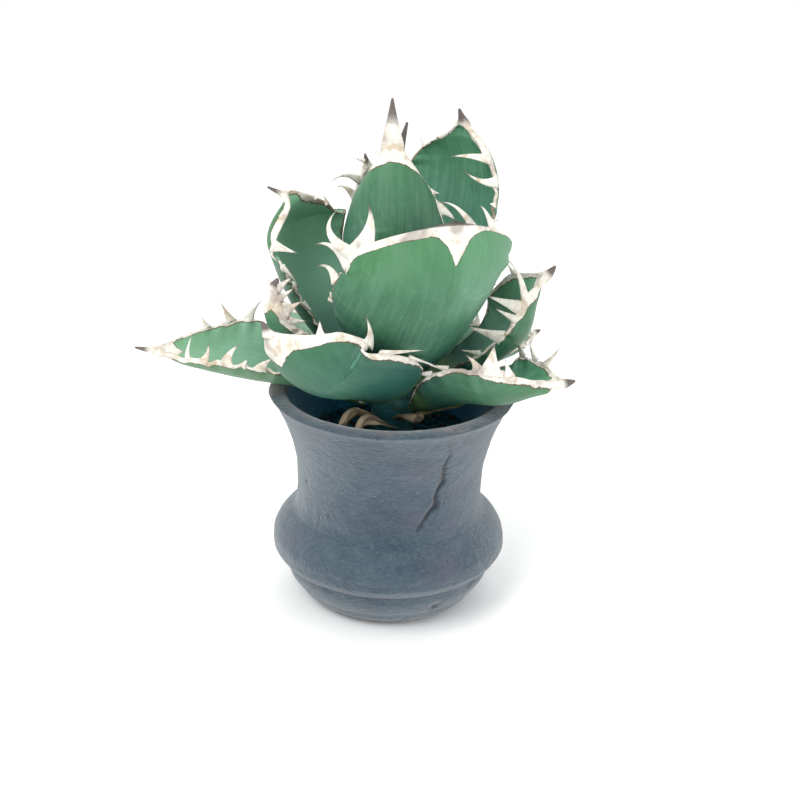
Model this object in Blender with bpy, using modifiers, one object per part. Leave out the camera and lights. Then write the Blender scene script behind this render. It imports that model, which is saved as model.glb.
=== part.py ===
"""Potted agave: a spiny rosette in a small hand-thrown clay pot.

Metres, +Z up, plant axis on the Z axis, pot underside at z = 0, the side seen first faces -Y.
Every leaf is one loft: a midrib through a few hand-set points, a half width and a cup angle
along it, and a few large teeth on its margins.
"""
import math

import bmesh
import bpy
import numpy as np

# ---------------------------------------------------------------- driving dimensions (metres)
MM = 0.001
GAP = 0.0003                 # clearance between pieces that touch

RIM_RADIUS = 0.060           # outside radius of the rim
POT_HEIGHT = 0.110
RIM_WALL = 0.0065            # clay thickness at the lip
BODY_WALL = 0.006
FLOOR_THICKNESS = 0.008
FLOOR_CURVE = 0.003          # run of the inside corner between floor and wall
LIP_ROUND = 0.0015           # how far the lip's two edges are taken off
LIP_DROP = 0.0012            # height of those edges
FOOT_RADIUS = 0.038
HOLE_RADIUS = 0.005
HOLE_CIRCLE = 0.016          # radius of the circle the drain holes sit on
HOLE_COUNT = 3

POT_STEPS = 48               # facets round the pot
HOLE_STEPS = 16

SOIL_DROP = 0.026            # soil surface below the rim
SOIL_CROWN = 0.002           # the soil stands this much higher at the stem
SOIL_EDGE = 0.0005           # and this much lower at the wall
STEM_RADIUS = 0.011
STEM_ABOVE_RIM = 0.047       # top of the short stem above the rim
STEM_BURIED = 0.030
STEM_STEPS = 24

NET_RADIUS = 0.024
NET_THICKNESS = 0.0012
NET_PITCH = 0.006
NET_OPENING = 0.0036
NET_ROWS = 5
NET_STEPS = 32

LEAF_SCALE = 1.0             # size of the whole rosette
SCALE_LIFT = 0.015           # a rosette grown to twice its size would stand this much higher
PATH_STEM = 11               # the leaf paths are set round a stem of this radius (mm)
PATH_FREE = 40               # and no longer depend on it this far out (mm)
LEAF_THICKNESS = 0.0048      # at the midrib of a full leaf
MARGIN_THICKNESS = 0.0016
FULL_HALF_WIDTH = 0.014      # a leaf wider than this has its full thickness

# the stem above the soil: (distance below its top, radius as a share of STEM_RADIUS)
STEM_TOP = ((0.0006, 0.20), (0.004, 0.31), (0.020, 0.55))

# outside of the pot: (height as a share of POT_HEIGHT, radius as a share of RIM_RADIUS)
POT_OUTLINE = (
    (1.00, 1.000), (0.985, 0.998), (0.960, 0.965), (0.950, 0.952), (0.91, 0.915), (0.82, 0.848),
    (0.72, 0.796), (0.62, 0.770), (0.55, 0.766), (0.48, 0.772), (0.43, 0.795), (0.39, 0.875),
    (0.35, 0.936), (0.30, 0.972), (0.26, 0.974), (0.24, 0.957), (0.222, 0.935), (0.208, 0.885),
    (0.15, 0.862), (0.10, 0.815), (0.09, 0.795), (0.05, 0.750), (0.0, FOOT_RADIUS / RIM_RADIUS),
)

# heights the inner wall is measured at, as shares of POT_HEIGHT
INNER_STATIONS = (0.12, 0.195, 0.25, 0.31, 0.36, 0.40, 0.44, 0.49, 0.55, 0.62, 0.72, 0.82, 0.91, 0.96)

# ---------------------------------------------------------------- the leaves (millimetres, degrees)
# path: (compass angle from the front, distance from the axis, height above the rim)
# wide: (place along the leaf 0..1, half width over the curve), cup: (place, half angle of the curl)
# teeth: (place, side, length, lean towards the tip)
# sides: share of the width kept on each side, one number or (place, share) pairs
# twist: (place, angle the cross-line is rolled by), level: 0 square to the midrib .. 1 level
# thick: share of the full thickness, scale: own size, for dry leaves that hang inside the pot
LEAVES = {
    "leaf_tall": dict(
        path=((-8, 13, 16), (-6, 25, 46), (-5, 28, 75), (-8, 19, 105), (-60, 4, 138)),
        wide=((0, 10), (0.3, 23), (0.52, 29), (0.66, 25), (0.75, 15), (0.82, 6.5), (0.88, 3.4),
              (0.94, 1.8), (1, 0.4)),
        cup=((0, 60), (0.5, 66), (0.8, 75), (1, 40)),
        teeth=((0.62, 1, 6, 0.3),),
    ),
    "leaf_bud": dict(
        path=((-147, 4, 46), (-147, 7, 74), (-150, 5, 100), (120, 4, 127)),
        wide=((0, 4), (0.4, 8), (0.7, 5), (0.88, 1.8), (1, 0.5)),
        cup=((0, 60), (0.5, 75), (1, 40)),
        teeth=(),
    ),
    "leaf_right_back": dict(
        path=((138, 13, 16), (134, 33, 46), (131, 45, 78), (129, 45, 106), (127, 34, 131)),
        wide=((0, 10), (0.3, 30), (0.5, 38), (0.7, 36), (0.84, 26), (0.91, 9), (0.95, 2.6), (1, 0.5)),
        cup=((0, 60), (0.5, 58), (1, 40)),
        teeth=((0.75, -1, 8, 0.2), (0.62, -1, 7, 0.2)),
    ),
    "leaf_left_back": dict(
        path=((-168, 13, 12), (-168, 34, 40), (-168, 46, 68), (-163, 46, 90), (-152, 35, 107)),
        wide=((0, 8), (0.3, 25), (0.55, 29), (0.75, 19), (0.88, 6), (0.94, 2.5), (1, 0.5)),
        cup=((0, 60), (0.5, 58), (1, 40)),
        teeth=((0.72, 1, 6, 0.4),),
        sides=(0.5, 0.6),
    ),
    "leaf_left": dict(
        path=((-104, 14, 8), (-106, 38, 26), (-107, 54, 50), (-103, 57, 73), (-96, 51, 89), (-91, 60, 96)),
        wide=((0, 8), (0.3, 27), (0.55, 35), (0.7, 36), (0.82, 29), (0.89, 10), (0.93, 2.2), (1, 0.5)),
        cup=((0, 60), (0.5, 62), (1, 50)),
        teeth=((0.75, 1, 4, 0.2), (0.62, 1, 4, 0.2), (0.5, 1, 4, 0.2)),
        sides=(((0, 0.95), (0.5, 1.08), (0.72, 1.14), (0.83, 0.95), (0.9, 0.7), (1, 1.0)), 0.85),
        twist=((0, 0), (0.5, -2), (1, -10)),
    ),
    "leaf_front": dict(
        path=((10, 14, 8), (16, 37, 26), (20, 52, 47), (24, 57, 66), (28, 54, 80), (31, 48, 92)),
        wide=((0, 6), (0.2, 33), (0.4, 45), (0.6, 49), (0.8, 48), (0.94, 45), (0.972, 37),
              (0.99, 13), (0.996, 4), (1, 0.6)),
        cup=((0, 60), (0.5, 70), (0.85, 64), (1, 50)),
        teeth=((0.7, -1, 9, 0.6), (0.7, 1, 8, 0.4)),
        sides=(1.05, 0.94),
        level=0.85,
    ),
    "leaf_front_left": dict(
        path=((-30, 14, -3), (-31, 39, 9), (-40, 59, 15), (-46, 70, 31), (-49, 76, 48)),
        wide=((0, 6), (0.25, 34), (0.5, 38), (0.76, 30), (0.87, 13), (0.93, 3), (1, 0.5)),
        cup=((0, 55), (0.5, 68), (1, 50)),
        teeth=((0.55, 1, 7, 0.2), (0.4, 1, 7, 0.2)),
        sides=(0.55, 1.18),
    ),
    "leaf_right": dict(
        path=((93, 14, 1), (92, 41, 12), (91, 61, 29), (91, 66, 49), (90, 75, 63)),
        wide=((0, 7), (0.3, 22), (0.6, 26), (0.8, 16), (0.9, 5), (1, 0.5)),
        cup=((0, 55), (0.5, 62), (1, 40)),
        teeth=((0.7, -1, 8, 0.3), (0.45, -1, 7, 0.3)),
        sides=(1.0, ((0, 0.85), (0.4, 0.95), (0.65, 1.35), (0.8, 1.45), (1, 1.1))),
    ),
    "leaf_left_short": dict(
        path=((-70, 14, 5), (-71, 38, 19), (-71, 56, 32), (-70, 61, 46), (-69, 57, 59)),
        wide=((0, 6), (0.3, 15), (0.6, 19), (0.83, 14), (0.92, 5), (1, 0.5)),
        cup=((0, 55), (0.5, 60), (1, 40)),
        teeth=(),
        sides=(0.5, 1.0),
    ),
    "leaf_left_low": dict(
        path=((-90, 14, -9), (-88, 42, 3), (-87, 72, 9), (-86, 100, 15), (-85, 123, 20)),
        wide=((0, 7), (0.3, 25), (0.52, 30), (0.76, 17), (0.90, 4), (0.94, 1.8), (1, 0.5)),
        cup=((0, 50), (0.5, 58), (1, 40)),
        teeth=((0.62, 1, 6, 0.2), (0.5, 1, 6, 0.2), (0.55, -1, 6, 0.2)),
        twist=((0, 0), (0.4, -7), (1, -7)),
    ),
    "leaf_right_low": dict(
        path=((55, 14, -8), (57, 42, 4), (59, 62, 8), (62, 78, 15), (64, 92, 21)),
        wide=((0, 6), (0.3, 26), (0.6, 32), (0.8, 19), (0.92, 4), (1, 0.5)),
        cup=((0, 50), (0.5, 68), (1, 45)),
        teeth=((0.5, -1, 7, 0.3), (0.6, 1, 6, 0.3)),
        sides=(1.08, ((0, 0.8), (0.45, 0.8), (0.7, 1.02), (1, 1.1))),
        twist=((0, 0), (0.4, -6), (1, 6)),
    ),
    "leaf_back_right": dict(
        path=((153, 14, -1), (152, 42, 18), (151, 62, 40), (151, 72, 62), (151, 76, 76)),
        wide=((0, 7), (0.3, 23), (0.6, 32), (0.8, 23), (0.9, 8), (0.95, 2.6), (1, 0.5)),
        cup=((0, 50), (0.5, 55), (1, 35)),
        teeth=((0.6, -1, 6, 0.3), (0.6, 1, 6, 0.3)),
    ),
    "leaf_back_left": dict(
        path=((-141, 14, 0), (-141, 42, 16), (-141, 63, 36), (-140, 74, 54), (-138, 80, 66)),
        wide=((0, 7), (0.3, 23), (0.6, 33), (0.8, 23), (0.9, 8), (0.95, 2.6), (1, 0.5)),
        cup=((0, 50), (0.5, 55), (1, 35)),
        teeth=((0.6, -1, 6, 0.3), (0.6, 1, 6, 0.3)),
    ),
    "leaf_back_right_low": dict(
        path=((119, 14, -8), (122, 44, 4), (123, 66, 9), (124, 82, 12), (124, 92, 14)),
        wide=((0, 6), (0.3, 16), (0.6, 23), (0.8, 14), (0.91, 4), (0.95, 2), (1, 0.5)),
        cup=((0, 45), (0.5, 50), (1, 35)),
        teeth=((0.6, -1, 6, 0.3), (0.6, 1, 6, 0.3)),
    ),
    "leaf_back_left_low": dict(
        path=((-144, 14, -8), (-143, 44, 5), (-142, 70, 10), (-141, 88, 14), (-141, 100, 18)),
        wide=((0, 6), (0.3, 16), (0.6, 24), (0.8, 14), (0.91, 4), (0.95, 2), (1, 0.5)),
        cup=((0, 45), (0.5, 50), (1, 35)),
        teeth=((0.6, -1, 6, 0.3), (0.6, 1, 6, 0.3)),
    ),
    "leaf_back_low": dict(
        path=((170, 14, -11), (171, 44, 1.5), (172, 70, 8), (172, 92, 14), (172, 104, 19)),
        wide=((0, 6), (0.3, 14), (0.6, 23), (0.8, 14), (0.91, 4), (0.95, 2), (1, 0.5)),
        cup=((0, 45), (0.5, 50), (1, 35)),
        teeth=((0.6, -1, 6, 0.3), (0.6, 1, 6, 0.3)),
    ),
    "dry_leaf_right": dict(
        path=((84, 14, -14), (84, 42, -2), (83, 58, 3.5), (81, 68, 8), (80, 76, 13)),
        wide=((0, 4), (0.3, 9), (0.6, 9), (0.85, 5), (0.95, 2), (1, 0.5)),
        cup=((0, 30), (0.5, 35), (1, 30)),
        teeth=(),
        thick=0.5,
    ),
    "dry_leaf_front": dict(
        path=((-24, 14, -14), (-25, 30, -5), (-27, 41, 0), (-29, 46, -4), (-30, 47, -11)),
        wide=((0, 2), (0.3, 3), (0.6, 3), (0.85, 2), (1, 0.8)),
        cup=((0, 40), (0.5, 60), (1, 60)),
        teeth=(),
        thick=0.4,
        twist=((0, 0), (0.5, 40), (1, 110)),
        scale=1.0,
    ),
    "dry_leaf_curl": dict(
        path=((8, 14, -17), (-6, 28, -9), (-16, 40, -2), (-19, 45, -4), (-20, 46, -11)),
        wide=((0, 2), (0.3, 2.6), (0.6, 2.6), (0.85, 1.8), (1, 0.8)),
        cup=((0, 40), (0.5, 60), (1, 60)),
        teeth=(),
        thick=0.4,
        twist=((0, 0), (0.5, -40), (1, -90)),
        scale=1.0,
    ),
    "dry_leaf_stub": dict(
        path=((22, 14, -12), (22, 20, -9), (24, 27, -6), (24, 32, -5)),
        wide=((0, 5), (0.4, 6), (0.8, 4), (1, 1.5)),
        cup=((0, 40), (1, 40)),
        teeth=(),
        thick=0.6,
        scale=1.0,
    ),
}

RING_PLACES = (0.0, 0.12, 0.25, 0.38, 0.50, 0.60, 0.70, 0.79, 0.87, 0.93, 0.97)
ACROSS = (-1.0, -0.5, 0.0, 0.5, 1.0)
TOOTH_HALF_BASE = 3.0 * MM


def wipe_scene():
    for obj in list(bpy.data.objects):
        bpy.data.objects.remove(obj, do_unlink=True)


def new_collection(name):
    col = bpy.data.collections.new(name)
    bpy.context.scene.collection.children.link(col)
    return col


def make_material(name, rgb, rough, metal=0.0):
    mat = bpy.data.materials.new(name)
    mat.use_nodes = True
    bsdf = mat.node_tree.nodes["Principled BSDF"]
    bsdf.inputs["Base Color"].default_value = (*rgb, 1.0)
    bsdf.inputs["Roughness"].default_value = rough
    bsdf.inputs["Metallic"].default_value = metal
    return mat


def mesh_object(name, verts, faces, col, mat):
    mesh = bpy.data.meshes.new(name)
    mesh.from_pydata([tuple(v) for v in verts], [], faces)
    bm = bmesh.new()
    bm.from_mesh(mesh)
    bmesh.ops.recalc_face_normals(bm, faces=bm.faces)
    bm.to_mesh(mesh)
    bm.free()
    mesh.materials.append(mat)
    obj = bpy.data.objects.new(name, mesh)
    col.objects.link(obj)
    return obj


def screw_object(name, outline, steps, col, mat):
    """Turn an outline of (radius, height) points, top to bottom, round the Z axis."""
    mesh = bpy.data.meshes.new(name)
    edges = [(i, i + 1) for i in range(len(outline) - 1)]
    mesh.from_pydata([(r, 0.0, z) for r, z in outline], edges, [])
    mesh.materials.append(mat)
    obj = bpy.data.objects.new(name, mesh)
    col.objects.link(obj)
    mod = obj.modifiers.new("turn", "SCREW")
    mod.axis = "Z"
    mod.steps = steps
    mod.render_steps = steps
    mod.use_merge_vertices = True
    mod.merge_threshold = 0.00001
    mod.use_smooth_shade = True
    return obj


def smooth_line(points, places):
    """Shape-keeping cubic through (place, value) points."""
    x = np.array([p[0] for p in points], float)
    y = np.array([p[1] for p in points], float)
    h = np.diff(x)
    slope = np.diff(y) / h
    m = np.zeros(len(x))
    m[0] = slope[0]
    m[-1] = slope[-1]
    for i in range(1, len(x) - 1):
        if slope[i - 1] * slope[i] > 0:
            a = 2 * h[i] + h[i - 1]
            b = h[i] + 2 * h[i - 1]
            m[i] = (a + b) / (a / slope[i - 1] + b / slope[i])
    at = np.clip(np.asarray(places, float), x[0], x[-1])
    k = np.clip(np.searchsorted(x, at, side="right") - 1, 0, len(x) - 2)
    t = (at - x[k]) / h[k]
    return ((1 + 2 * t) * (1 - t) ** 2 * y[k] + t * (1 - t) ** 2 * h[k] * m[k]
            + t * t * (3 - 2 * t) * y[k + 1] + t * t * (t - 1) * h[k] * m[k + 1])


def polar(angle, radius, height):
    a = math.radians(angle)
    return np.array([radius * math.sin(a), -radius * math.cos(a), height])


def midrib(path, scale, samples=160):
    """Even samples along a smooth curve through the path points (metres)."""
    base = np.array([0.0, 0.0, POT_HEIGHT])
    grown = STEM_RADIUS - PATH_STEM * MM          # a thicker stem pushes the leaf bases outward
    lift = SCALE_LIFT * (scale - 1)
    pts = []
    for a, r, z in path:
        near_stem = min(max((PATH_FREE - r) / (PATH_FREE - PATH_STEM), 0.0), 1.0)
        pts.append(base + polar(a, r * MM * scale + grown * near_stem, z * MM * scale + lift))
    pts = np.array(pts)
    ends = np.vstack([2 * pts[0] - pts[1], pts, 2 * pts[-1] - pts[-2]])
    out = []
    for i in range(1, len(ends) - 2):
        p0, p1, p2, p3 = ends[i - 1:i + 3]
        for t in np.linspace(0, 1, 40, endpoint=False):
            out.append(0.5 * (2 * p1 + (p2 - p0) * t + (2 * p0 - 5 * p1 + 4 * p2 - p3) * t * t
                              + (3 * p1 - p0 - 3 * p2 + p3) * t ** 3))
    out.append(pts[-1])
    out = np.array(out)
    run = np.concatenate([[0.0], np.cumsum(np.linalg.norm(np.diff(out, axis=0), axis=1))])
    even = np.linspace(0, run[-1], samples)
    line = np.stack([np.interp(even, run, out[:, k]) for k in range(3)], -1)
    return line, run[-1]


def leaf_frames(spec, places):
    """Centre, side and inner directions of the leaf at each place, and its length."""
    line, length = midrib(spec["path"], spec.get("scale", LEAF_SCALE))
    grid = np.linspace(0, 1, len(line))
    tangent = np.gradient(line, axis=0)
    tangent /= np.linalg.norm(tangent, axis=1)[:, None]
    angle = math.radians(spec["path"][len(spec["path"]) // 2][0])
    side = np.array([math.cos(angle), math.sin(angle), 0.0])
    centre = np.stack([np.interp(places, grid, line[:, k]) for k in range(3)], -1)
    along = np.stack([np.interp(places, grid, tangent[:, k]) for k in range(3)], -1)
    along /= np.linalg.norm(along, axis=1)[:, None]
    across = side - along * (along @ side)[:, None] * (1 - spec.get("level", 0.0))
    across /= np.linalg.norm(across, axis=1)[:, None]
    inner = np.cross(along, across)
    inner /= np.linalg.norm(inner, axis=1)[:, None]
    twist = np.radians(smooth_line(spec.get("twist", ((0, 0), (1, 0))), places))[:, None]
    across, inner = (across * np.cos(twist) + inner * np.sin(twist),
                     inner * np.cos(twist) - across * np.sin(twist))
    return centre, along, across, inner, length


def side_shares(spec, places):
    """How much of the half width the left and the right side of a leaf have at each place."""
    sides = spec.get("sides", (1.0, 1.0))
    return [smooth_line(s, places) if isinstance(s, tuple) else np.full(len(places), s) for s in sides]


def leaf_object(name, spec, col, mat):
    _, length = midrib(spec["path"], spec.get("scale", LEAF_SCALE))
    step = TOOTH_HALF_BASE / length
    places = set(RING_PLACES)
    for place, _, _, _ in spec["teeth"]:
        places = {p for p in places if abs(p - place) > 1.6 * step}
        places |= {place - step, place, place + step}
    places = np.array(sorted(places))
    centre, along, across, inner, length = leaf_frames(spec, places)
    scale = spec.get("scale", LEAF_SCALE)
    half = smooth_line(spec["wide"], places) * MM * scale
    cup = np.radians(smooth_line(spec["cup"], places))
    sides = side_shares(spec, places)
    thick = scale * LEAF_THICKNESS * spec.get("thick", 1.0) * np.clip(half / FULL_HALF_WIDTH, 0.25, 1.0)
    rows = []
    for i, place in enumerate(places):
        ring = []
        for face in (1, -1):
            for v in ACROSS[::face]:
                radius = half[i] / cup[i]
                turn = cup[i] * v * sides[v > 0][i]
                out_dir = across[i] * math.cos(turn) + inner[i] * math.sin(turn)
                normal = inner[i] * math.cos(turn) - across[i] * math.sin(turn)
                mid = centre[i] + across[i] * radius * math.sin(turn) \
                    + inner[i] * radius * (1 - math.cos(turn))
                body = thick[i] * (1 - v * v) + min(MARGIN_THICKNESS * scale, thick[i]) * v * v
                reach = 0.0
                for t_place, t_side, t_len, t_lean in spec["teeth"]:
                    if v == t_side and abs(t_place - place) < 1e-6:
                        reach = t_len * MM * scale
                        mid = mid + (out_dir * t_side + along[i] * t_lean) * reach
                        body *= 0.5
                ring.append(mid + normal * face * body / 2)
        rows.append(ring)
    count = len(rows[0])
    verts = [p for ring in rows for p in ring]
    tip_at, *_ = leaf_frames(spec, np.array([1.0]))
    verts.append(tip_at[0])
    faces = []
    for i in range(len(rows) - 1):
        for j in range(count):
            k = (j + 1) % count
            faces.append((i * count + j, i * count + k, (i + 1) * count + k, (i + 1) * count + j))
    last = (len(rows) - 1) * count
    tip = len(verts) - 1
    for j in range(count):
        faces.append((last + j, last + (j + 1) % count, tip))
    top = len(ACROSS)
    for j in range(top - 1):
        a, b = j, j + 1
        c, d = count - 1 - (j + 1), count - 1 - j
        faces.append((a, d, c, b))
    return mesh_object(name, verts, faces, col, mat)


def pot_outline():
    return [(RIM_RADIUS * r, POT_HEIGHT * z) for z, r in POT_OUTLINE]


def pot_inner_radius(height):
    outline = pot_outline()[::-1]
    outer = np.interp(height, [z for _, z in outline], [r for r, _ in outline])
    wall = np.interp(height, [0.0, 0.8 * POT_HEIGHT, POT_HEIGHT], [BODY_WALL, BODY_WALL, RIM_WALL])
    return float(outer - wall)


def build_pot(col, cutters, mat):
    outer = pot_outline()
    low = FLOOR_THICKNESS
    inner = [(pot_inner_radius(s * POT_HEIGHT), s * POT_HEIGHT) for s in INNER_STATIONS]
    lip = POT_HEIGHT - LIP_DROP
    foot_inner = FOOT_RADIUS - BODY_WALL
    profile = [(0.0, low), (foot_inner - FLOOR_CURVE, low), (foot_inner, low + FLOOR_CURVE)]
    profile += inner + [(RIM_RADIUS - RIM_WALL, lip), (RIM_RADIUS - RIM_WALL + LIP_ROUND, POT_HEIGHT)]
    profile += [(RIM_RADIUS - LIP_ROUND, POT_HEIGHT), (RIM_RADIUS, lip)] + outer[2:] + [(0.0, 0.0)]
    pot = screw_object("pot", profile, POT_STEPS, col, mat)
    for i in range(HOLE_COUNT):
        a = math.radians(90 + 360 / HOLE_COUNT * i)
        bpy.ops.mesh.primitive_cylinder_add(
            vertices=HOLE_STEPS, radius=HOLE_RADIUS, depth=3 * FLOOR_THICKNESS,
            location=(HOLE_CIRCLE * math.cos(a), HOLE_CIRCLE * math.sin(a), FLOOR_THICKNESS / 2))
        cut = bpy.context.object
        cut.name = "cut_drain_%d" % (i + 1)
        for c in list(cut.users_collection):
            c.objects.unlink(cut)
        cutters.objects.link(cut)
        cut.hide_render = True
        cut.display_type = "WIRE"
        mod = pot.modifiers.new("drain_%d" % (i + 1), "BOOLEAN")
        mod.operation = "DIFFERENCE"
        mod.solver = "EXACT"
        mod.object = cut
    return pot


def build_soil(col, mat):
    top = POT_HEIGHT - SOIL_DROP
    net_top = FLOOR_THICKNESS + GAP + NET_THICKNESS + GAP
    stations = np.array(INNER_STATIONS) * POT_HEIGHT
    radii = [pot_inner_radius(h) for h in stations]
    bore = STEM_RADIUS + GAP
    edge = float(np.interp(top, stations, radii)) - GAP
    crown = top + SOIL_CROWN
    profile = [(bore, crown), (0.5 * edge, top), (edge, top - SOIL_EDGE)]
    profile += [(r - GAP, h) for r, h in zip(radii[::-1], stations[::-1]) if h < top - SOIL_CROWN]
    corner = 0.5 * FLOOR_CURVE + 2 * GAP         # the soil stays clear of the inside corner
    profile += [(FOOT_RADIUS - BODY_WALL - GAP, FLOOR_THICKNESS + FLOOR_CURVE),
                (FOOT_RADIUS - BODY_WALL - corner, net_top), (0.0, net_top),
                (0.0, top - STEM_BURIED - GAP), (bore, top - STEM_BURIED - GAP), (bore, crown)]
    return screw_object("soil", profile, POT_STEPS, col, mat)


def build_net(col, cutters, mat):
    """A square-holed plastic mesh disc over the drain holes."""
    z = FLOOR_THICKNESS + GAP + NET_THICKNESS / 2
    bpy.ops.mesh.primitive_cylinder_add(vertices=NET_STEPS, radius=NET_RADIUS, depth=NET_THICKNESS,
                                        location=(0, 0, z))
    net = bpy.context.object
    net.name = "drain_net"
    net.data.name = "drain_net"
    for c in list(net.users_collection):
        c.objects.unlink(net)
    col.objects.link(net)
    net.data.materials.append(mat)
    bpy.ops.mesh.primitive_cube_add(size=1, location=(0, 0, z))
    cut = bpy.context.object
    cut.name = "cut_net"
    for c in list(cut.users_collection):
        c.objects.unlink(cut)
    cutters.objects.link(cut)
    cut.hide_render = True
    cut.display_type = "WIRE"
    reach = (NET_ROWS - 1) / 2 * NET_PITCH
    cut.scale = (NET_OPENING, NET_OPENING, 3 * NET_THICKNESS)
    cut.location = (-reach, -reach, z)
    for axis in (0, 1):
        mod = cut.modifiers.new("row_%d" % (axis + 1), "ARRAY")
        mod.count = NET_ROWS
        mod.use_relative_offset = False
        mod.use_constant_offset = True
        offset = [0.0, 0.0, 0.0]
        offset[axis] = NET_PITCH / NET_OPENING
        mod.constant_offset_displace = offset
    cutting = net.modifiers.new("mesh_holes", "BOOLEAN")
    cutting.operation = "DIFFERENCE"
    cutting.solver = "EXACT"
    cutting.object = cut
    return net


def build_stem(col, mat):
    top = POT_HEIGHT - SOIL_DROP
    high = POT_HEIGHT + STEM_ABOVE_RIM * LEAF_SCALE
    low = top - STEM_BURIED
    profile = [(0.0, high)] + [(STEM_RADIUS * LEAF_SCALE * r, high - LEAF_SCALE * down) for down, r in STEM_TOP]
    profile += [(STEM_RADIUS * 0.95, POT_HEIGHT + 0.008), (STEM_RADIUS, POT_HEIGHT - 0.01),
                (STEM_RADIUS, low + 0.4 * STEM_RADIUS), (STEM_RADIUS * 0.6, low), (0.0, low)]
    return screw_object("stem", profile, STEM_STEPS, col, mat)


def main():
    wipe_scene()
    col = new_collection("potted_agave")
    cutters = new_collection("cutters")
    clay = make_material("clay", (0.085, 0.10, 0.12), 0.85)
    earth = make_material("earth", (0.05, 0.04, 0.03), 0.95)
    caudex = make_material("stem_skin", (0.20, 0.16, 0.09), 0.8)
    build_pot(col, cutters, clay)
    build_soil(col, earth)
    build_stem(col, caudex)
    plastic = make_material("net_plastic", (0.05, 0.05, 0.05), 0.5)
    build_net(col, cutters, plastic)
    for name, spec in LEAVES.items():
        tint = (0.42, 0.31, 0.15) if name.startswith("dry") else (0.05, 0.17, 0.08)
        leaf_object(name, spec, col, make_material(name + "_skin", tint, 0.5))


main()
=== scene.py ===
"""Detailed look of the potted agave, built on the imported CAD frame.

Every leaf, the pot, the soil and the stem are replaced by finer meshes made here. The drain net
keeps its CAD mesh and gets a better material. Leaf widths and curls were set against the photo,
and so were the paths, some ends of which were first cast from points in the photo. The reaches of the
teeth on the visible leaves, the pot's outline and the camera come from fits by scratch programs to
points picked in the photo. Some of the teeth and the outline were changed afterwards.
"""
import math

import bpy
import numpy as np
from mathutils import Matrix, Vector, noise


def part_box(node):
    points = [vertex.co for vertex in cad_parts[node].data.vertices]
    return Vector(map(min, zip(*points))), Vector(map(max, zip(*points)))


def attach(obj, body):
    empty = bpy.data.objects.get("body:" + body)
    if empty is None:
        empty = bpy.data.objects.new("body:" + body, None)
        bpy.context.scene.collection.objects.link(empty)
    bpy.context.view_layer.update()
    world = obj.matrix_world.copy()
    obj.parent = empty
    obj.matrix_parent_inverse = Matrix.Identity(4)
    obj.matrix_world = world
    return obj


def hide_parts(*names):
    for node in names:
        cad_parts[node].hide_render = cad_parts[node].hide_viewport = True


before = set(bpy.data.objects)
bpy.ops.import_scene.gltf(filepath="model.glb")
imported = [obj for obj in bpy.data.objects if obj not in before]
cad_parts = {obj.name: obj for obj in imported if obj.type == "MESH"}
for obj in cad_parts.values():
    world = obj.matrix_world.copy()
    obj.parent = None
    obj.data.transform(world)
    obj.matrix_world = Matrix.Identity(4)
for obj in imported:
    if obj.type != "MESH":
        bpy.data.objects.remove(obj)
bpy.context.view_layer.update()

MM = 0.001
RIM_RADIUS = 0.060
POT_HEIGHT = 0.110
RIM_WALL = 0.0065
BODY_WALL = 0.006
FLOOR_THICKNESS = 0.008
FLOOR_CURVE = 0.003
FOOT_RADIUS = 0.038
HOLE_RADIUS = 0.005
HOLE_CIRCLE = 0.016
HOLE_COUNT = 3
SOIL_DROP = 0.026
STEM_RADIUS = 0.011
STEM_ABOVE_RIM = 0.047
STEM_BURIED = 0.030
LEAF_THICKNESS = 0.0048
MARGIN_THICKNESS = 0.0016
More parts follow.
